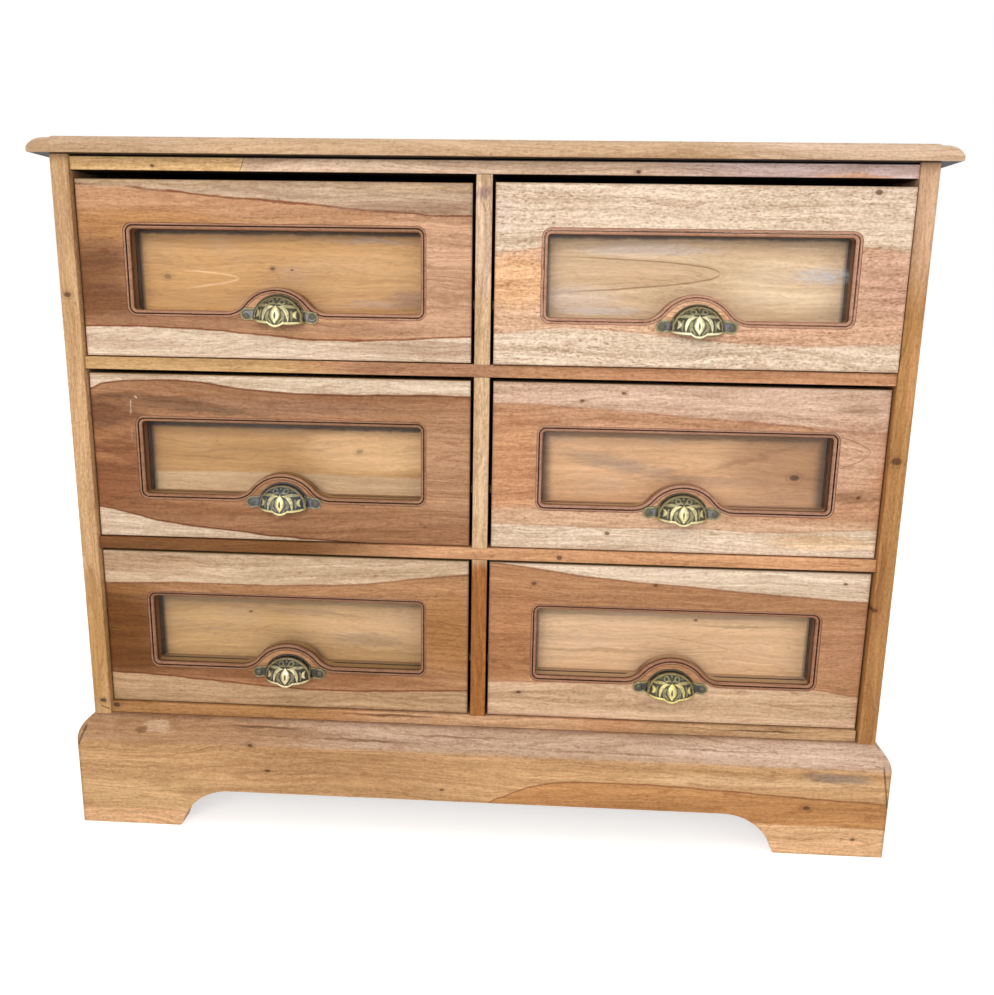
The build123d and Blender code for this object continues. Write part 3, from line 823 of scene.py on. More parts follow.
@dataclass(frozen=True)
class CupPull:
    """Cast cup pull: a domed cup with leaf ornament, a scalloped lip, a rim and two ears."""

    half_width: float = 28.5
    reach: float = 20.0
    half_height: float = 26.5
    centre_z: float = -4.0
    wall: float = 1.6
    relief_height: float = 0.9
    lip_drop: float = 10.8
    lobe_half_width: float = 8.5
    notch_drop: float = 7.2
    wing_drop: float = 6.9
    end_drop: float = 5.6
    ear_x: float = 36.65
    ear_radius: float = 7.0
    ear_root_x: float = 24.0
    ear_root_top: float = 9.0
    ear_root_bottom: float = 6.2
    flange: float = 1.6
    rim_width: float = 2.0
    curl_x: float = 6.1
    curl_z: float = 15.8
    curl_radius: float = 2.7
    knob_z: float = 18.6
    wing_x: float = 13.5
    wing_z: float = 16.2
    line_share: float = 0.915  # of the cup's outline, where the line along each side runs
    lip_band: float = 2.2
    slit_depth: float = 0.7
    columns: int = 181
    rows: int = 96

    def ornament(self) -> tuple[Leaf, ...]:
        """The leaves on the right half. The left half mirrors them."""
        return (
            Leaf((0, 11.5), (0, 3), (0, -7.0), 6.3, 0.9, 0.0, 0.75),
            Leaf((2.5, 10.8), (14.5, 10.0), (13.6, -5.5), 2.4, 0.85, 0.25, 0.55),
            Leaf((6.4, 6.5), (10.4, 2), (8.4, -5.8), 1.9, 0.6, 0.3, 0.7),
            Leaf((2.6, -7.4), (6.0, -5.6), (8.6, 1.0), 1.0, 0.55, 0.0, 0.6),
            Leaf((4.5, 11.2), (13, 12.4), (22.5, 9.8), 1.9, 0.75, 0.2, 0.6),
            Leaf((16.0, 7.5), (18.6, 3.5), (17.2, -4.5), 1.5, 0.5, 0.0, 0.7),
            Leaf((21.6, 6.5), (17.6, 3.0), (21.8, -1.2), 2.3, 0.85, 0.0, 0.5),
            Leaf((24.4, 9.0), (27.0, 3.0), (24.8, -2.5), 1.2, 0.7, 0.0, 0.7),
            Leaf((0.4, 13.0), (1.6, 15.0), (4.2, 13.4), 1.1, 0.5, 0.0),
        )

    def relief(self, x: np.ndarray, z: np.ndarray, from_lip: np.ndarray) -> np.ndarray:
        """Height of the ornament, from 0 to relief_height, at places of the front view.

        The highest of all the forms counts: the leaves, two curls that are rings round a point, the
        beads at the crown, a line along each side, and a band along the lip. A slit cuts the bud.
        """
        side = np.abs(x)
        height = np.zeros_like(x)
        for leaf in self.ornament():
            height = np.maximum(height, leaf.rise(side, z))
        edge = np.sqrt((x / self.half_width) ** 2 + ((z - self.centre_z) / self.half_height) ** 2)
        curl = np.abs(np.hypot(side - self.curl_x, (z - self.curl_z) * 1.15) - self.curl_radius)
        ridges = (
            dome(curl, 1.1, 0.55),
            dome(np.hypot(side, z - self.knob_z), 1.6, 0.5),
            dome(np.hypot(side - self.wing_x, (z - self.wing_z) * 1.8), 3.4, 0.4),
            dome(np.abs(edge - self.line_share), 0.03, 0.7),
            dome(from_lip, self.lip_band, 0.9, power=4),
        )
        for ridge in ridges:
            height = np.maximum(height, ridge)
        slit = np.sqrt((x / 1.15) ** 2 + ((z - 1.2) / 4.2) ** 2)
        return height - dome(slit, 1.0, self.slit_depth) * (height > 0)

    def lip_height(self, x: np.ndarray) -> np.ndarray:
        """Height of the scalloped lip: a parabola under the lobe and one under each wing."""
        side = np.abs(x)
        fall = self.lip_drop - self.notch_drop
        lobe = fall * (side / self.lobe_half_width) ** 2 - self.lip_drop
        a, c = self.lobe_half_width, self.half_width
        b = (a + c) / 2
        wing = -self.notch_drop * (side - b) * (side - c) / ((a - b) * (a - c))
        wing -= self.wing_drop * (side - a) * (side - c) / ((b - a) * (b - c))
        wing -= self.end_drop * (side - a) * (side - b) / ((c - a) * (c - b))
        return np.where(side < a, lobe, wing)

    def shell(self, shrink: float, turn: np.ndarray, rise: np.ndarray) -> np.ndarray:
        """Places on the cup's ellipsoid, made smaller by shrink.

        x is the half width times the sine of turn. y and z are the reach and the half height times
        the cosine of turn, times the cosine and sine of rise.
        """
        x = (self.half_width - shrink) * np.sin(turn)
        y = -(self.reach - shrink) * np.cos(turn) * np.cos(rise)
        z = self.centre_z + (self.half_height - shrink) * np.cos(turn) * np.sin(rise)
        return np.stack(np.broadcast_arrays(x, y, z), axis=-1)

    def cup(self, surface: Surface) -> None:
        """The cup: its outer face with the ornament, a rounded lip and its plain inner face."""
        limit = math.pi / 2 - 0.03
        turn = np.linspace(-limit, limit, self.columns)[:, None]
        lip = self.lip_height(self.half_width * np.sin(turn))
        low = np.arcsin(
            np.clip((lip - self.centre_z) / (self.half_height * np.cos(turn)), -1.0, 1.0)
        )
        share = np.linspace(0, 1, self.rows)[None, :]
        rise = low + (math.pi / 2 - low) * share
        outer = self.shell(self.relief_height, turn, rise)
        inner = self.shell(self.relief_height + self.wall, turn, rise)
        size = np.array([self.half_width, self.reach, self.half_height])
        centre = np.array([0.0, 0.0, self.centre_z])
        out = (outer - centre) / size**2
        out /= np.linalg.norm(out, axis=-1, keepdims=True)
        from_lip = np.linalg.norm(outer - outer[:, :1], axis=-1)
        height = self.relief(outer[..., 0], outer[..., 2], from_lip)
        fade = np.clip((-outer[..., 1]) / 1.5, 0, 1)
        outer = outer + out * (height * fade)[..., None]

        down = outer[:, 0] - outer[:, 1]
        down /= np.linalg.norm(down, axis=-1, keepdims=True)
        middle = (outer[:, 0] + inner[:, 0]) / 2
        half = (outer[:, 0] - inner[:, 0]) / 2
        angle = np.linspace(math.pi, 0, 7)[None, 1:-1, None]
        size_of_half = np.linalg.norm(half, axis=-1)[:, None, None]
        roll = middle[:, None] + half[:, None] * np.cos(angle)
        roll = roll + down[:, None] * size_of_half * np.sin(angle)
        grid = np.concatenate([outer, inner[:, ::-1], roll], axis=1)
        worn = [height / self.relief_height * 0.9, np.zeros(inner.shape[:2])]
        raised = np.concatenate([*worn, np.full(roll.shape[:2], 0.5)], axis=1)
        surface.add_tube(grid, raised)

    def crown_rim(self, surface: Surface) -> None:
        """The rim against the wood round the cup's crown, a half round carried along an ellipse."""
        low = -0.02
        along = np.linspace(low, math.pi - low, 121)[:, None]
        round_it = np.linspace(0, 2 * math.pi, 17)[None, :-1]
        out = self.rim_width / 2 * (1 + np.cos(round_it)) - 0.6
        lift = -self.flange * np.clip(np.sin(round_it), 0, 1) ** 0.7
        x = (self.half_width + out) * np.cos(along)
        z = self.centre_z + (self.half_height + out) * np.sin(along)
        grid = np.stack(np.broadcast_arrays(x, lift, z), axis=-1)
        surface.add_tube(grid, np.full(x.shape, 0.15))

    def ear(self, surface: Surface, side: float) -> None:
        """One ear: a tapered plate with a round end, a raised border and a flat round the screw.

        The outline's half height is a straight taper to the ear's circle and that circle beyond it.
        The thickness rounds off to nothing at the border, falls inside it and rises to the screw.
        """
        straight = np.linspace(self.ear_root_x, self.ear_x, 26)
        bent = self.ear_x + self.ear_radius * np.sin(np.linspace(0, math.pi / 2 - 0.05, 26)[1:])
        x = np.concatenate([straight, bent])[:, None]
        taper = np.clip((x - self.ear_root_x) / (self.ear_x - self.ear_root_x), 0, 1)
        past = np.clip(x - self.ear_x, 0, None)
        circle = np.sqrt(np.clip(self.ear_radius**2 - past**2, 0.01, None))
        waist = 0.5 * np.sin(np.pi * np.clip(taper * 1.05, 0, 1)) ** 2
        rise = self.ear_root_top - (self.ear_root_top - self.ear_radius) * taper - waist
        fall = self.ear_root_bottom + (self.ear_radius - self.ear_root_bottom) * taper - waist
        top = np.where(past > 0, circle, rise)
        bottom = np.where(past > 0, -circle, -fall)
        t = np.linspace(-1, 1, 33)[None, :]
        z = (top + bottom) / 2 + (top - bottom) / 2 * t
        inset = np.minimum(top - z, z - bottom)
        inset = np.where(past > 0, self.ear_radius - np.hypot(past, z), inset)
        inset = np.clip(inset, 0, None)
        shoulder = np.sqrt(1 - (1 - np.clip(inset / 0.9, 0, 1)) ** 2)
        border = np.clip(1 - ((inset - 0.9) / 0.9) ** 2, 0, 1)
        seat = np.clip((4.6 - np.hypot(x - self.ear_x, z)) / 0.8, 0, 1)
        thick = shoulder * (0.75 + 0.8 * np.maximum(border, seat))
        front = np.stack([np.broadcast_to(x, z.shape) * side, -thick, z], axis=-1)
        back = front.copy()
        back[..., 1] = 0.0
        grid = np.concatenate([front, back[:, -2:0:-1]], axis=1)
        recess = np.clip((inset - 2.6) / 1.4, 0, 1)
        raised = 0.35 + 0.25 * border * (inset > 0.2) - 1.0 * recess
        value = np.concatenate([raised, np.zeros((len(x), t.shape[1] - 2))], axis=1)
        surface.add_tube(grid, value)

    def build(self, name: str, screws: Vector, tilt: float) -> bpy.types.Object:
        """The whole pull.

        Args:
            name: name of the piece.
            screws: middle of the line between its screws, on the drawer's face, in metres.
            tilt: how far it is turned about that place, in radians.

        Returns:
            The new object.
        """
        surface = Surface()
        self.cup(surface)
        self.crown_rim(surface)
        self.ear(surface, 1.0)
        self.ear(surface, -1.0)
        turn = np.array(Matrix.Rotation(tilt, 3, "Y"))
        surface.points = [part @ turn.T for part in surface.points]
        return surface.to_object(name, "relief", screws)


@dataclass(frozen=True)
class WindowMoulding:
    """The moulding round a drawer's window: a bead, a quirk and a quarter round to the glass."""

    width: float
    height: float
    corner: float = 4.0
    arch_half_width: float = 57.0
    arch_rise: float = 27.0
    crown_radius: float = 47.0
    band_offset: float = 6.38  # outer edge of the crowned band, from the sight line
    band_width: float = 2.3
    round_radius: float = 3.0
    quirk_depth: float = 1.9
    round_depth: float = 4.2  # at the sight line
    wall_depth: float = 8.0

    def path(self) -> tuple[np.ndarray, np.ndarray]:
        """The sight outline and its outward normals, from arcs and straight runs in turn.

        An arc's place is its centre plus its radius along an angle, and its normal that angle's
        direction, turned round where the arc bulges into the window.
        """
        half = self.width / 2
        foot = (self.arch_half_width**2 + self.arch_rise**2) / (2 * self.arch_rise)
        foot -= self.crown_radius
        crown_z = self.arch_rise - self.crown_radius
        lean = math.atan2(foot - crown_z, self.arch_half_width)
        c = self.corner
        top = self.height - c
        quarter = math.pi / 2
        arcs = [
            ((-half + c, c), c, math.pi, 1.5 * math.pi, 1.0, 9),
            ((-self.arch_half_width, foot), foot, -quarter, -lean, 1.0, 24),
            ((0.0, crown_z), self.crown_radius, math.pi - lean, lean, -1.0, 48),
            ((self.arch_half_width, foot), foot, -math.pi + lean, -quarter, 1.0, 24),
            ((half - c, c), c, -quarter, 0.0, 1.0, 9),
            ((half - c, top), c, 0.0, quarter, 1.0, 9),
            ((-half + c, top), c, quarter, math.pi, 1.0, 9),
        ]
        runs = [60, 0, 0, 60, 30, 90, 30]
        points: list[np.ndarray] = []
        normals: list[np.ndarray] = []
        ends = []
        for centre, radius, start, end, side, count in arcs:
            angle = np.linspace(start, end, count)
            way = np.stack([np.cos(angle), np.sin(angle)], axis=-1)
            ends.append((np.array(centre) + radius * way, side * way))
        for index, (place, normal) in enumerate(ends):
            points.append(place)
            normals.append(normal)
            count = runs[index]
            if count:
                following, after = ends[(index + 1) % len(ends)]
                share = np.linspace(0, 1, count)[1:-1, None]
                points.append(place[-1] * (1 - share) + following[0] * share)
                normals.append(np.broadcast_to(normal[-1], (count - 2, 2)))
        return np.concatenate(points), np.concatenate(normals)

    def profile(self) -> tuple[np.ndarray, np.ndarray, np.ndarray]:
        """Section of the moulding: offset outwards, depth behind the face, and darkness.

        A low crowned band, a quirk, and a quarter round that ends at the sight line. The back of the
        section lies on the board. Darkness is painted shade in the creases: it is high at the outer
        edge, at the band's edges, in the quirk and at the quarter round's ends, and goes on from 1
        to 2 down the wall that leads from the sight line to the glass.
        """
        band = np.linspace(0, 1, 13)
        band_offset = self.band_offset - self.band_width * band
        band_depth = 0.95 - 0.8 * np.sin(math.pi * band) ** 0.35
        band_dark = np.clip(1 - 7 * np.minimum(band, 1 - band), 0, 1) * 0.5
        quarter = np.linspace(0, math.pi / 2, 9)
        radius, quirk, wall = self.round_radius, self.quirk_depth, self.wall_depth
        round_offset = 2.9 - radius * np.sin(quarter)
        round_depth = self.round_depth - radius * np.cos(quarter)
        round_dark = np.concatenate([[0.8, 0.2], np.zeros(4), [0.15, 0.6, 1.0]])
        offset = np.concatenate([[6.5], band_offset, [3.8, 3.3], round_offset, [-0.1, 0.0, 0.0]])
        depth = np.concatenate([[1.0], band_depth, [quirk, quirk], round_depth, [wall, wall, 5.2]])
        dark = np.concatenate([[1.0], band_dark, [1.0, 1.0], round_dark, [2.0, 2.0, 1.0]])
        rising = np.array([0.4, 0.8, 1.2, 1.57])
        offset = np.concatenate([offset, radius * (1 - np.cos(rising)), [3.4, 3.4]])
        depth = np.concatenate([depth, 5.2 - radius * np.sin(rising), [2.2, 1.0]])
        dark = np.concatenate([dark, np.ones(6)])
        return offset, depth, dark

    def build(self, name: str, origin: Vector) -> bpy.types.Object:
        """The closed ring of the moulding, the section carried along the sight outline."""
        place, normal = self.path()
        offset, depth, dark = self.profile()
        flat = place[:, None] + normal[:, None] * offset[None, :, None]
        y = np.broadcast_to(depth, flat.shape[:2])
        grid = np.stack([flat[..., 0], y, flat[..., 1]], axis=-1)
        surface = Surface()
        surface.add_tube(grid, np.broadcast_to(dark, y.shape), caps=False, loop=True)
        return surface.to_object(name, "quirk", origin)


# ---------------------------------------------------------------- the cabinet

CREAM = Colour(228, 203, 176)
PALE = Colour(214, 184, 152)
SCAR = Colour(226, 206, 186)


@dataclass(frozen=True)
class Drawer:
    """One drawer: its boards' finishes, its moulding and its pull."""

    row: str
    column: str
    body: Colour
    figures: tuple[Figure, ...]
    panel: Colour
    panel_figures: tuple[Figure, ...]
    moulding: Colour
    sight_height: float
    seed: float
    pores: float = 0.4
    pebble: float = 0.45
    pull_tilt: float = 0.0
    # painted reflection on the drawer's pane, if any
    painted_reflection: tuple[float, float, float, float] | None = None
    rubbed: Colour = Colour(218, 206, 154)
    middle: Colour = Colour(142, 135, 102)
    hollow: Colour = Colour(84, 80, 62)
    tarnish: Colour = Colour(122, 120, 122)
    window_width: float = 319.5
    window_rise: float = 51.0
    lip_drop: float = 11.5

    @property
    def name(self) -> str:
        """Name of the drawer's body."""
        return f"{self.row}_{self.column}_drawer"

    def dress(self, nodes: dict[str, bpy.types.Object]) -> None:
        """Gives the drawer's solids their finishes and builds its moulding and its pull."""
        front = f"{self.name}_front"
        wood = Wood(
            f"{front}_wood",
            self.body,
            figures=self.figures,
            seed=self.seed,
            pores=self.pores,
            pebble=self.pebble,
            rim_box=face_box(front),
            # painted shade on the front's faces that look down or sideways, toned to pass also for
            # darker end grain
            painted_shade_off_front=Colour(124, 86, 58),
            # painted light on the front's faces that look up, in the panel's colour dimmed
            painted_upward_light=self.panel.times(0.8),
        )
        finish(nodes[front], wood.material())
        panel = Wood(
            f"{self.name}_panel_wood",
            self.panel,
            figures=self.panel_figures,
            seed=self.seed + 20,
            pores=0.2,
            streaks=0.6,
            pebble=0.15,
            lines=0.15,
        )
        finish(nodes[f"{self.name}_display_panel"], panel.material())
        # painted shade: the glass beads are dark umber, as the window's recess lies in shade; their
        # faces that look up take the painted light
        beads = Wood(
            f"{self.name}_bead_wood",
            Colour(84, 66, 50),
            seed=self.seed + 60,
            roughness=0.6,
            painted_upward_light=self.panel.times(0.8),
        )
        finish(nodes[f"{self.name}_glass_beads"], beads.material())
        glass = PaneGlass(f"{self.name}_pane", painted_reflection=self.painted_reflection)
        finish(nodes[f"{self.name}_glass"], glass.material())
        self._add_moulding(front)
        self._add_pull(nodes)

    def _add_moulding(self, front: str) -> None:
        """The moulding, on the steps that the board has for it."""
        low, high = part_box(front)
        centre = Vector(((low[0] + high[0]) / 2, low[1], low[2] + self.window_rise * MM))
        moulding = WindowMoulding(self.window_width, self.sight_height)
        piece = moulding.build(f"{self.name}_window_moulding", centre)
        wood = Wood(
            f"{self.name}_moulding_wood",
            self.moulding,
            seed=self.seed + 40,
            pores=0.35,
            streaks=0.6,
            # painted shade in the moulding's creases and on its wall to the glass, and painted light
            # on that wall where it looks up
            quirk=Colour(70, 46, 36),
            painted_upward_light=self.panel.times(0.8),
        )
        finish(piece, wood.material())
        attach(piece, self.name)
        report(piece)

    def _add_pull(self, nodes: dict[str, bpy.types.Object]) -> None:
        """The cast pull in the place of its plain solid, and its screws' finish."""
        node = f"{self.name}_cup_pull"
        low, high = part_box(node)
        screws = Vector(((low[0] + high[0]) / 2, high[1], low[2] + self.lip_drop * MM))
        piece = CupPull().build(f"{self.name}_cast_pull", screws, self.pull_tilt)
        brass = Brass(
            f"{self.name}_antique_brass", self.hollow, self.middle, self.rubbed, self.tarnish
        )
        finish(piece, brass.material())
        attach(piece, self.name)
        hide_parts(node)
        report(piece)
        screw = Brass(
            f"{self.name}_screw_brass",
            hollow=Colour(48, 46, 40),
            middle=Colour(104, 98, 84),
            rubbed=Colour(170, 160, 130),
            uses_relief=False,
        )
        finish(nodes[f"{self.name}_pull_screws"], screw.material())


def finish(piece: bpy.types.Object, material: bpy.types.Material) -> None:
    """Puts one material in all of a piece's slots."""
    if not piece.material_slots:
        piece.data.materials.append(material)
    for slot in piece.material_slots:
        slot.material = material


def report(piece: bpy.types.Object) -> None:
    """Logs one finished piece."""
    LOG.info("%s: %d faces", piece.name, len(piece.data.polygons))


DRAWERS = (
    Drawer(
        "top",
        "left",
        Colour(200, 150, 110),
        (
            Patch(430, 650, 120, 130, Colour(208, 162, 128), 0.9, 0.8),
            Patch(90, 706, 150, 26, Colour(190, 136, 82), 0.9, 0.9),
            Patch(30, 660, 84, 50, Colour(132, 86, 50), 0.95, 0.9, 1.5, 0.1),
            Patch(30, 624, 110, 32, Colour(128, 82, 48), 0.95, 0.9, 1.5, -0.1),
            Patch(44, 668, 44, 10, Colour(110, 70, 42), 0.7, 0.9, 1.8, 0.12),
            Patch(40, 640, 40, 6, Colour(112, 72, 44), 0.6, 0.9, 1.8, -0.12),
            Patch(140, 606, 170, 13, Colour(162, 116, 84), 0.8, 0.9, 0.5),
            Patch(330, 600, 110, 9, Colour(172, 128, 98), 0.7, 0.9, 0.5),
            Field(((20, 751), (90, 747), (150, 741), (300, 730), (400, 723), (453, 722)),
                  Colour(204, 174, 144), True, 1.5, 0.35, line=0.9),
            Patch(400, 730, 130, 9, Colour(170, 134, 108), 0.8, 0.8, 0.8),
            Patch(230, 742, 90, 5, Colour(182, 148, 122), 0.7, 0.8, 0.8, -0.05),
            Patch(120, 752, 130, 8, Colour(216, 184, 148), 0.8, 0.8),
            Patch(390, 748, 110, 5, Colour(222, 190, 156), 0.8, 0.8),
            Field(((20, 598), (110, 598), (190, 594), (250, 589), (320, 587), (453, 594)),
                  CREAM, False, 1.5, 0.3, line=0.9),
            Patch(60, 580, 80, 9, Colour(204, 172, 146), 0.7, 0.9),
            Patch(410, 580, 120, 12, Colour(198, 164, 138), 0.8, 0.9),
        ),
        Colour(214, 163, 102),
        (
            Patch(330, 655, 130, 40, Colour(222, 174, 118), 0.8, 0.8),
            Patch(390, 632, 50, 12, Colour(180, 140, 112), 0.8, 0.9, 1.5),
            Patch(340, 626, 40, 5, Colour(206, 172, 150), 0.6, 0.9, 1.5),
            Patch(340, 694, 60, 5, Colour(204, 176, 160), 0.5, 0.9, 1.5),
            Loop((188, 653), 70, 11, Colour(240, 196, 144), 1.6, 0.8, 0.03),
            Knot(107, 653.6, 3.2, strength=0.6),
            Knot(227, 664, 2.2),
            Knot(249, 663, 1.2),
            Shade(77.3, 396.8, 617, 705.4, 8.0),
        ),
        Colour(178, 132, 104),
        87.0,
        1.0,
        pull_tilt=math.radians(2.5),
    ),
    Drawer(
        "top",
        "right",
        Colour(224, 180, 146),
        (
            Patch(500, 655, 60, 36, Colour(238, 186, 138), 0.9, 0.7),
            Patch(880, 655, 60, 55, Colour(212, 166, 140), 0.9, 0.8),
            Patch(700, 618, 60, 24, Colour(236, 184, 140), 0.8, 0.8),
            Patch(790, 605, 150, 22, Colour(220, 174, 142), 0.9, 0.8),
            Field(((478, 684), (560, 694), (700, 700), (850, 696), (910, 690)),
                  CREAM, True, 3, 0.35, line=0.25),
            Patch(540, 737, 70, 6, Colour(206, 176, 146), 0.5, 0.9),
            Patch(700, 716, 200, 5, Colour(208, 180, 152), 0.4, 0.9),
            Field(((478, 600), (560, 606), (660, 600), (780, 592), (910, 596)),
                  CREAM, False, 3, 0.35, line=0.25),
            Knot(870, 749, 3.0),
        ),
        Colour(226, 192, 152),
        (
            Patch(620, 662, 90, 14, Colour(222, 184, 142), 0.7, 0.9),
            Patch(560, 640, 70, 14, Colour(218, 196, 178), 0.6, 0.9),
            Loop((719, 666), 190, 20, Colour(168, 122, 84), 1.2, 0.8, 0.02, 0.42),
            Loop((731, 667), 200, 25, Colour(242, 212, 174), 3.0, 0.6, 0.02, 0.42),
            Loop((700, 665), 150, 12, Colour(196, 150, 110), 1.0, 0.4, 0.02, 0.5),
            Patch(800, 655, 90, 36, Colour(248, 218, 180), 0.85, 0.8),
            Patch(640, 690, 100, 8, Colour(214, 200, 194), 0.5, 0.9),
            Patch(590, 625, 60, 7, Colour(226, 212, 204), 0.6, 0.9),
            Shade(533.3, 852.8, 617, 705.4, 7.0, 5.0, Colour(82, 80, 84), 0.85),
        ),
        Colour(196, 148, 122),
        87.0,
        2.0,
        pores=0.6,
        pebble=0.9,
        # painted reflection on this pane
        painted_reflection=(826, 665, 42, 11),
        rubbed=Colour(236, 228, 188),
        tarnish=Colour(112, 110, 118),
    ),
    Drawer(
        "middle",
        "left",
        Colour(168, 120, 84),
        (
            Patch(36, 430, 70, 70, Colour(138, 86, 54), 0.9, 0.8),
            Patch(40, 478, 44, 9, Colour(184, 130, 88), 0.7, 0.8, 1.5, 0.2),
            Patch(30, 450, 40, 6, Colour(176, 122, 82), 0.6, 0.8, 1.5, -0.2),
            Patch(30, 500, 70, 20, Colour(112, 72, 46), 0.8, 0.8, 1.5),
            Patch(430, 450, 90, 80, Colour(188, 142, 106), 0.9, 0.8),
            Patch(230, 512, 190, 12, Colour(170, 128, 98), 0.8, 0.8),
            Patch(110, 515, 90, 11, Colour(124, 86, 58), 0.8, 0.8, 1.5, -0.12),
            Patch(40, 520, 36, 5, Colour(112, 74, 46), 0.7, 0.8, 1.5, 0.1),
            Patch(60, 500, 60, 6, Colour(128, 84, 54), 0.7, 0.8, 1.5, -0.1),
            Patch(180, 505, 60, 4, Colour(118, 90, 64), 0.6, 0.8, 1.5, -0.1),
            Field(((20, 529), (34, 535), (60, 539), (118, 540.5), (160, 538), (190, 533),
                   (232, 530), (300, 528), (400, 530), (453, 529)),
                  CREAM, True, 1.3, 0.2, line=0.8),
            Patch(60, 545, 110, 6, Colour(196, 164, 132), 0.8, 0.8),
            Field(((20, 392), (90, 377), (200, 365), (260, 360), (453, 352)),
                  CREAM, False, 1.4, 0.2, line=0.9),
            Patch(130, 392, 130, 12, Colour(146, 98, 62), 0.8, 0.9),
            Patch(330, 370, 140, 7, Colour(150, 102, 68), 0.6, 0.9, 1.0),
            Scratch((67.5, 518), (66.5, 500), 1.1, SCAR, 0.45),
            Scratch((72, 522), (75, 519), 1.5, SCAR, 0.6),
            Scratch((66, 488), (66, 470), 0.9, SCAR, 0.22),
        ),
        Colour(202, 154, 98),
        (
            Field(((77, 430), (180, 432), (300, 431), (397, 429)),
                  Colour(222, 186, 142), False, 2),
            Patch(340, 462, 110, 34, Colour(240, 194, 142), 0.85, 0.8),
            Patch(200, 458, 90, 3, Colour(174, 130, 84), 0.6, 0.9, 1.0, 0.04),
            Patch(150, 448, 60, 2.5, Colour(170, 126, 82), 0.6, 0.9, 1.0, -0.05),
            Knot(322, 459, 3.0, strength=0.5),
            Shade(77.3, 396.8, 408, 488.7, 8.0),
        ),
        Colour(166, 122, 92),
        84.0,
        3.0,
        rubbed=Colour(214, 200, 140),
        middle=Colour(124, 120, 104),
        hollow=Colour(70, 74, 78),
        tarnish=Colour(104, 104, 112),
    ),
    Drawer(
        "middle",
        "right",
        Colour(200, 150, 114),
        (
            Patch(505, 455, 60, 80, Colour(204, 148, 106), 0.9, 0.8),
            Field(((478, 524), (560, 521), (700, 512), (800, 507), (910, 500)),
                  Colour(218, 182, 156), True, 3, 0.35, line=0.3),
            Patch(870, 480, 50, 60, Colour(212, 170, 142), 0.8, 0.9),
            Patch(874, 524, 36, 7, Colour(168, 134, 104), 0.7, 0.9, 1.8),
            Loop((892, 478), 36, 19, Colour(150, 104, 78), 1.1, 0.7, 0.05),
            Loop((884, 477), 20, 8, Colour(160, 116, 88), 0.9, 0.45, 0.05),
            Patch(880, 428, 40, 7, Colour(160, 120, 90), 0.6, 0.9, 1.8),
            Knot(884, 427, 1.6),
            Field(((478, 404), (600, 408), (700, 404), (800, 398), (910, 398)),
                  Colour(212, 172, 138), False, 6),
            Field(((478, 386), (600, 384), (700, 386), (800, 384), (910, 390)),
                  CREAM, False, 2, 0.3, line=0.3),
            Patch(850, 374, 80, 12, Colour(228, 190, 148), 0.8, 0.9),
            Knot(609, 378, 2.2),
            Knot(621, 537, 2.2),
            Knot(576, 528, 2.0),
        ),
        Colour(234, 185, 138),
        (
            Patch(810, 455, 90, 56, Colour(190, 143, 102), 0.85, 0.9),
            Patch(600, 458, 60, 12, Colour(176, 144, 118), 0.55, 0.95, 1.4, -0.18),
            Patch(650, 446, 80, 8, Colour(168, 136, 112), 0.5, 0.95, 1.4, -0.12),
            Patch(720, 436, 90, 8, Colour(176, 140, 110), 0.5, 0.95, 1.4, 0.0),
            Patch(770, 462, 70, 5, Colour(160, 120, 86), 0.45, 0.95, 1.4, 0.3),
            Loop((700, 452), 120, 14, Colour(196, 150, 110), 1.2, 0.4, 0.1),
            Knot(820, 442, 4.0),
            Shade(533.3, 852.8, 408, 488.7, 9.0, 14.0, strength=0.6),
        ),
        Colour(182, 136, 112),
        84.0,
        4.0,
        pebble=0.7,
    ),
    Drawer(
        "bottom",
        "left",
        Colour(178, 130, 90),
        (
            Patch(34, 248, 76, 70, Colour(110, 64, 18), 0.95, 0.75),
            Patch(60, 205, 96, 26, Colour(108, 64, 24), 0.95, 0.85),
            Patch(52, 292, 60, 9, Colour(150, 100, 54), 0.7, 0.9, 1.4, -0.1),
            Patch(430, 250, 80, 60, Colour(172, 121, 72), 0.9, 0.8),
            Loop((446, 252), 40, 18, Colour(136, 88, 56), 1.1, 0.5, 0.0),
            Loop((436, 252), 26, 9, Colour(140, 92, 60), 0.9, 0.4, 0.0),
            Field(((20, 300), (110, 303), (240, 304), (340, 310), (453, 324)),
                  PALE, True, 1.6, 0.2, line=0.5),
            Patch(60, 326, 120, 14, Colour(190, 152, 120), 0.8, 0.9),
            Patch(240, 190, 220, 14, Colour(140, 90, 56), 0.8, 0.9),
            Field(((20, 187), (120, 182), (260, 173), (360, 175), (453, 179)),
                  Colour(190, 154, 116), False, 1.4, 0.2, line=0.8),
            Patch(288, 210, 5, 1.8, SCAR, 0.8, 0.5),
        ),
        Colour(204, 162, 108),
        (
            Patch(330, 250, 110, 40, Colour(226, 184, 136), 0.8, 0.8),
            Knot(186, 260, 1.6),
            Patch(330, 228, 60, 12, Colour(176, 142, 104), 0.7, 0.9),
            Patch(240, 262, 120, 4, Colour(184, 146, 106), 0.6, 0.9, 1.0, -0.05),
            Shade(77.3, 396.8, 201, 275, 8.0, strength=0.45),
        ),
        Colour(160, 116, 88),
        83.0,
        5.0,
        rubbed=Colour(220, 204, 160),
        middle=Colour(120, 112, 86),
        hollow=Colour(66, 62, 52),
        tarnish=Colour(72, 70, 66),
    ),
    Drawer(
        "bottom",
        "right",
        Colour(184, 134, 94),
        (
            Patch(500, 250, 60, 90, Colour(184, 130, 88), 0.9, 0.8),
            Field(((476, 340), (560, 330), (640, 322), (720, 317), (908, 306)),
                  CREAM, True, 1.6, 0.2, line=0.5),
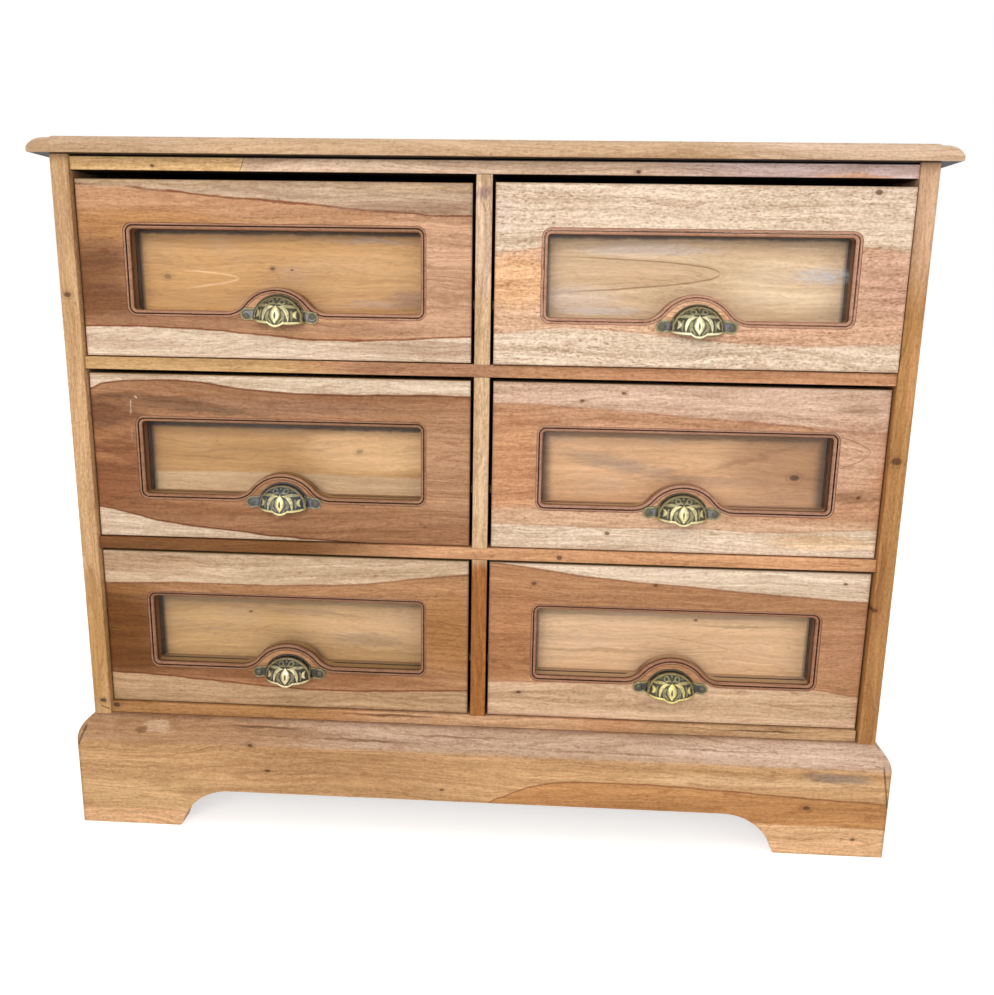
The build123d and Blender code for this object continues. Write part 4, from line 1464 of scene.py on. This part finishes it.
            Patch(890, 250, 60, 60, Colour(184, 134, 98), 0.9, 0.8),
            Field(((476, 193), (600, 196), (720, 200), (820, 202), (908, 190)),
                  Colour(214, 178, 144), False, 4, line=0.4),
            Knot(528, 316, 2.4),
            Knot(667, 318, 2.0),
            Knot(880, 327, 2.0),
            Knot(513, 181, 2.4),
            Scratch((690, 187), (690, 178), 0.7, Colour(96, 60, 40)),
        ),
        Colour(236, 194, 148),
        (
            Patch(600, 250, 120, 30, Colour(242, 202, 160), 0.7, 0.8),
            Patch(600, 226, 100, 3, Colour(196, 152, 108), 0.6, 0.9, 1.0),
            Patch(780, 262, 80, 2.5, Colour(190, 148, 106), 0.6, 0.9, 1.0),
            Loop((760, 232), 120, 13, Colour(190, 148, 108), 1.0, 0.5, -0.06),
            Knot(720, 268, 1.5),
            Shade(532.3, 851.8, 201, 275, 8.0, strength=0.4),
        ),
        Colour(172, 124, 96),
        83.0,
        6.0,
        rubbed=Colour(226, 208, 130),
        middle=Colour(136, 128, 96),
        hollow=Colour(78, 76, 64),
        tarnish=Colour(70, 70, 74),
    ),
)


@dataclass(frozen=True)
class Case:
    """The boards that stand still."""

    def woods(self) -> dict[str, Wood]:
        """The finish of each node of the case."""
        top = Wood(
            "top_board_wood",
            Colour(202, 166, 128),
            figures=(
                Patch(60, 790, 140, 30, Colour(196, 162, 128), 0.8, 0.8),
                Patch(840, 790, 160, 30, Colour(218, 186, 158), 0.8, 0.8),
            ),
            seed=7,
            streaks=0.8,
            # painted shade: the underside behind the nose is near black
            under=Colour(10, 7, 5),
        )
        left = Wood(
            "left_post_wood",
            Colour(210, 168, 122),
            Grain.UPRIGHT,
            (
                Knot(8, 632, 3.2),
                Patch(10, 720, 20, 60, Colour(196, 156, 114), 0.8, 0.8),
                Patch(8, 300, 8, 30, Colour(150, 106, 66), 0.6, 0.9),
                Patch(10, 220, 20, 120, Colour(186, 140, 84), 0.9, 0.9),
                Knot(12, 153, 3.2, Colour(60, 38, 26)),
                Scratch((8, 146), (20, 142), 1.4, Colour(84, 52, 34)),
            ),
            seed=8,
        )
        right = Wood(
            "right_post_wood",
            Colour(180, 130, 78),
            Grain.UPRIGHT,
            (
                Patch(920, 760, 30, 140, Colour(210, 170, 136), 0.9, 0.9),
                Patch(925, 560, 6, 60, Colour(206, 150, 98), 0.7, 0.9),
                Patch(916, 330, 6, 70, Colour(142, 92, 52), 0.7, 0.9),
                Knot(918, 470, 4.5),
                Knot(912, 300, 3.0),
            ),
            seed=9,
        )
        rails = Wood(
            "rail_wood",
            Colour(202, 150, 108),
            figures=(
                Patch(560, 771, 500, 60, Colour(226, 192, 162), 1.0, 0.3),
                Patch(860, 771, 250, 60, Colour(230, 202, 194), 1.0, 0.8),
                Patch(10, 771, 205, 80, Colour(240, 196, 138), 1.0, 0.08, 0.3),
                Patch(850, 763, 60, 5, Colour(226, 170, 128), 0.8, 0.9),
                Knot(110, 768, 2.0),
                Knot(625, 767, 2.0),
                Scratch((204, 762), (210, 778), 0.8, Colour(120, 84, 56)),
                # painted shadow of the top board's overhang: a near-black strip along the top rail's
                # upper edge
                Field(((0, 776.8), (460, 776.4), (930, 776.8)),
                      Colour(14, 10, 8), True, 0.6, 0.03),
                Patch(120, 558, 210, 24, Colour(206, 164, 112), 1.0, 0.6),
                Patch(400, 558, 130, 24, Colour(172, 124, 92), 0.9, 0.7),
                Patch(760, 558, 260, 24, Colour(212, 156, 116), 0.9, 0.7),
                Patch(120, 350, 300, 26, Colour(118, 74, 34), 0.95, 0.6),
                Patch(720, 350, 240, 26, Colour(222, 166, 120), 0.9, 0.7),
                Knot(556, 349, 2.6),
                Patch(130, 143, 230, 26, Colour(172, 124, 74), 0.9, 0.6),
                Knot(26, 146, 3.4, Colour(56, 36, 28)),
                Patch(460, 143, 160, 26, Colour(212, 168, 128), 0.9, 0.6),
                Patch(820, 143, 200, 26, Colour(196, 158, 116), 0.9, 0.6),
                Patch(360, 146, 70, 2, Colour(112, 72, 42), 0.8, 0.8, 0.4),
                Patch(800, 145, 60, 2, Colour(92, 60, 36), 0.8, 0.8, 0.4),
            ),
            seed=10,
            # painted shade: near black on the rails' faces that look down or sideways
            painted_shade_off_front=Colour(30, 20, 14),
        )
        muntins = Wood(
            "muntin_wood",
            Colour(216, 180, 140),
            Grain.UPRIGHT,
            (
                Patch(465, 240, 60, 110, Colour(166, 106, 54), 1.0, 0.2),
                Patch(465, 700, 60, 70, Colour(230, 196, 164), 1.0, 0.4),
                Patch(465, 745, 12, 8, Colour(150, 116, 120), 0.6, 0.8, 1.0, 0.4),
            ),
            seed=11,
            # painted shade: dark on the muntins' faces that look down or sideways
            painted_shade_off_front=Colour(44, 30, 20),
        )
        plinth = Wood(
            "plinth_front_wood",
            Colour(206, 161, 114),
            figures=(
                Patch(300, 80, 180, 40, Colour(188, 142, 98), 0.8, 0.9),
                Field(((-16, -20), (300, 20), (480, 46), (505, 60),
                       (540, 74), (600, 80), (700, 79), (800, 74), (946, 68)),
                      Colour(194, 140, 88), False, 1.6, 0.25, line=0.7),
                Patch(70, 22, 130, 60, Colour(212, 170, 122), 0.9, 0.8),
                Field(((600, 20), (760, 33), (850, 37), (946, 36)),
                      Colour(232, 186, 140), False, 2.0, 0.4),
                Field(((-16, 110), (300, 110), (946, 110)), Colour(198, 164, 136), True, 3, 0.3),
                Patch(850, 124, 200, 16, Colour(220, 188, 164), 0.8, 0.8),
                Patch(100, 123, 260, 22, Colour(172, 128, 86), 0.9, 0.9),
                Patch(80, 127, 20, 7, Colour(212, 176, 142), 0.75, 0.5, 1.6),
                Patch(92, 121, 16, 3.0, Colour(206, 170, 138), 0.7, 0.5, 1.6),
                # painted shadow at the left side of the pale chip
                Patch(62, 124, 9, 3.4, Colour(134, 92, 58), 0.8, 0.6, 1.2),
                Patch(210, 130, 60, 1.6, Colour(110, 72, 46), 0.8, 0.8, 0.4),
                Patch(330, 121, 80, 1.8, Colour(140, 98, 68), 0.7, 0.8, 0.6),
                Patch(440, 128, 70, 1.4, Colour(136, 96, 70), 0.7, 0.8, 0.6),
                Patch(620, 118, 110, 1.6, Colour(152, 110, 84), 0.6, 0.8, 0.6),
                Patch(760, 126, 80, 1.4, Colour(150, 112, 90), 0.6, 0.8, 0.6),
                Scratch((936, 120), (946, 60), 1.6, Colour(84, 54, 36)),
                Scratch((-16, 100), (-4, 128), 1.8, Colour(70, 48, 34)),
                Patch(790, 89, 170, 9, Colour(228, 188, 144), 0.7, 0.8),
                Patch(885, 99, 50, 10, Colour(150, 128, 112), 0.8, 0.8, 1.5),
                Knot(853, 60, 3.2),
                Knot(910, 22, 2.2),
                Knot(195, 110, 2.6),
                Knot(215, 78, 2.6),
                Knot(425, 62, 2.2),
            ),
            seed=12,
            rim_box=face_box("plinth_front"),
        )
        sides = Wood("plinth_side_wood", Colour(198, 154, 112), Grain.BACKWARDS, seed=16)
        plain = Wood("plain_inner_wood", Colour(216, 182, 138), Grain.BACKWARDS, seed=13, pores=0.3)
        dark = Wood("dust_board_wood", Colour(186, 150, 112), seed=14, pores=0.3)
        return {
            "top_board": top,
            "left_side_board": left,
            "right_side_board": right,
            "front_rails": rails,
            "muntins": muntins,
            "centre_partition": plain,
            "drawer_runners": plain,
            "bottom_board": dark,
            "back_panel": Wood("back_wood", Colour(196, 158, 116), Grain.UPRIGHT, seed=15),
            "plinth_front": plinth,
            "plinth_sides": sides,
            "plinth_back": dark,
        }

    def dress(self, nodes: dict[str, bpy.types.Object]) -> None:
        """Gives the case's solids their finishes, and the drawers' hidden boards one of them."""
        made: dict[str, bpy.types.Material] = {}
        for node, wood in self.woods().items():
            if wood.name not in made:
                made[wood.name] = wood.material()
            finish(nodes[node], made[wood.name])
        for name, piece in nodes.items():
            if name.endswith(("_box", "_drawer_bottom")):
                finish(piece, made["plain_inner_wood"])


# ---------------------------------------------------------------- stage, lamps and camera


@dataclass(frozen=True)
class Stage:
    """A pale floor and the white round it, which the camera and polished metal see."""

    half_size: float = 12.0
    floor_colour: Colour = Colour(232, 230, 226)
    veil: float = 0.62  # light that the camera sees on the floor beside its shaded colour
    sky: float = 0.55  # light of the surroundings on the object

    def build(self) -> None:
        """Makes the floor and the world."""
        half = self.half_size
        mesh = bpy.data.meshes.new("studio_floor")
        corners = [(-half, -half, 0.0), (half, -half, 0.0), (half, half, 0.0), (-half, half, 0.0)]
        mesh.from_pydata(corners, [], [(0, 1, 2, 3)])
        floor = bpy.data.objects.new("studio_floor", mesh)
        bpy.context.scene.collection.objects.link(floor)
        material, graph = new_material("studio_floor_paint")
        seen = self._seen(graph)
        plain = graph.principled(Base_Color=self.floor_colour, Roughness=0.9)
        white = {"Color": Colour(255, 255, 255), "Strength": self.veil}
        glow = graph.node("ShaderNodeEmission", {}, white)
        both = graph.node("ShaderNodeAddShader", {}, {0: plain, 1: glow})
        graph.finish(graph.node("ShaderNodeMixShader", {}, {0: seen, 1: plain, 2: both}))
        finish(floor, material)

        world = bpy.data.worlds.new("white_room")
        world.use_nodes = True
        bpy.context.scene.world = world
        graph = Graph(world.node_tree)
        white = Colour(255, 255, 255)
        kind = "ShaderNodeBackground"
        lit = graph.node(kind, {}, {"Color": white, "Strength": self.sky})
        shown = graph.node(kind, {}, {"Color": white, "Strength": 1.0})
        seen = self._seen(graph)
        graph.finish(graph.node("ShaderNodeMixShader", {}, {0: seen, 1: lit, 2: shown}))

    @staticmethod
    def _seen(graph: Graph) -> Term:
        """1 for rays of the camera, of reflections and through glass, and 0 for light."""
        share = graph.node("ShaderNodeLightPath", {}, {}, "Is Camera Ray")
        for name in ("Is Glossy Ray", "Is Transmission Ray"):
            share = share.most(graph.node("ShaderNodeLightPath", {}, {}, name))
        return share


@dataclass(frozen=True)
class SoftLamp:
    """A large square lamp aimed at the cabinet."""

    name: str
    place: Triple
    size: float
    watts: float
    target: Triple = (0.0, 0.0, 0.45)

    def build(self) -> None:
        """Makes the lamp."""
        light = bpy.data.lights.new(self.name, "AREA")
        light.shape = "SQUARE"
        light.size = self.size
        light.energy = self.watts
        lamp = bpy.data.objects.new(self.name, light)
        aim = Vector(self.target) - Vector(self.place)
        turn = aim.to_track_quat("-Z", "Y").to_matrix().to_4x4()
        lamp.matrix_world = Matrix.Translation(self.place) @ turn
        bpy.context.scene.collection.objects.link(lamp)


LAMPS = (
    SoftLamp("front_softbox", (-0.7, -3.0, 1.5), 1.7, 38.0),
    SoftLamp("right_softbox", (1.9, -1.9, 1.6), 1.6, 8.0),
    SoftLamp("ceiling_softbox", (0.0, -0.2, 3.0), 2.4, 14.0),
)


@dataclass(frozen=True)
class Viewpoint:
    """The photograph's camera."""

    place: Triple = (0.0714, -1.1965, 0.6439)
    yaw: float = math.radians(2.944)
    pitch: float = math.radians(-12.516)
    roll: float = math.radians(-0.993)
    lens: float = 33.65
    sensor: float = 36.0

    def build(self) -> None:
        """Makes the camera and gives it to the scene."""
        data = bpy.data.cameras.new("photograph_camera")
        data.sensor_width = self.sensor
        data.sensor_fit = "AUTO"
        data.lens = self.lens
        data.clip_start = 0.05
        camera = bpy.data.objects.new("photograph_camera", data)
        turn = (
            Matrix.Rotation(self.yaw, 4, "Z")
            @ Matrix.Rotation(self.pitch, 4, "X")
            @ Matrix.Rotation(self.roll, 4, "Y")
            @ Matrix.Rotation(math.pi / 2, 4, "X")
        )
        camera.matrix_world = Matrix.Translation(self.place) @ turn
        bpy.context.scene.collection.objects.link(camera)
        bpy.context.scene.camera = camera


def main() -> None:
    """Builds and dresses everything in order."""
    logging.basicConfig(level=logging.INFO, format="%(name)s: %(message)s")
    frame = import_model()
    Viewpoint().build()
    Stage().build()
    for lamp in LAMPS:
        lamp.build()
    bpy.context.scene.view_settings.view_transform = "Standard"
    Case().dress(frame["nodes"])
    for drawer in DRAWERS:
        drawer.dress(frame["nodes"])


if __name__ == "__main__":
    main()
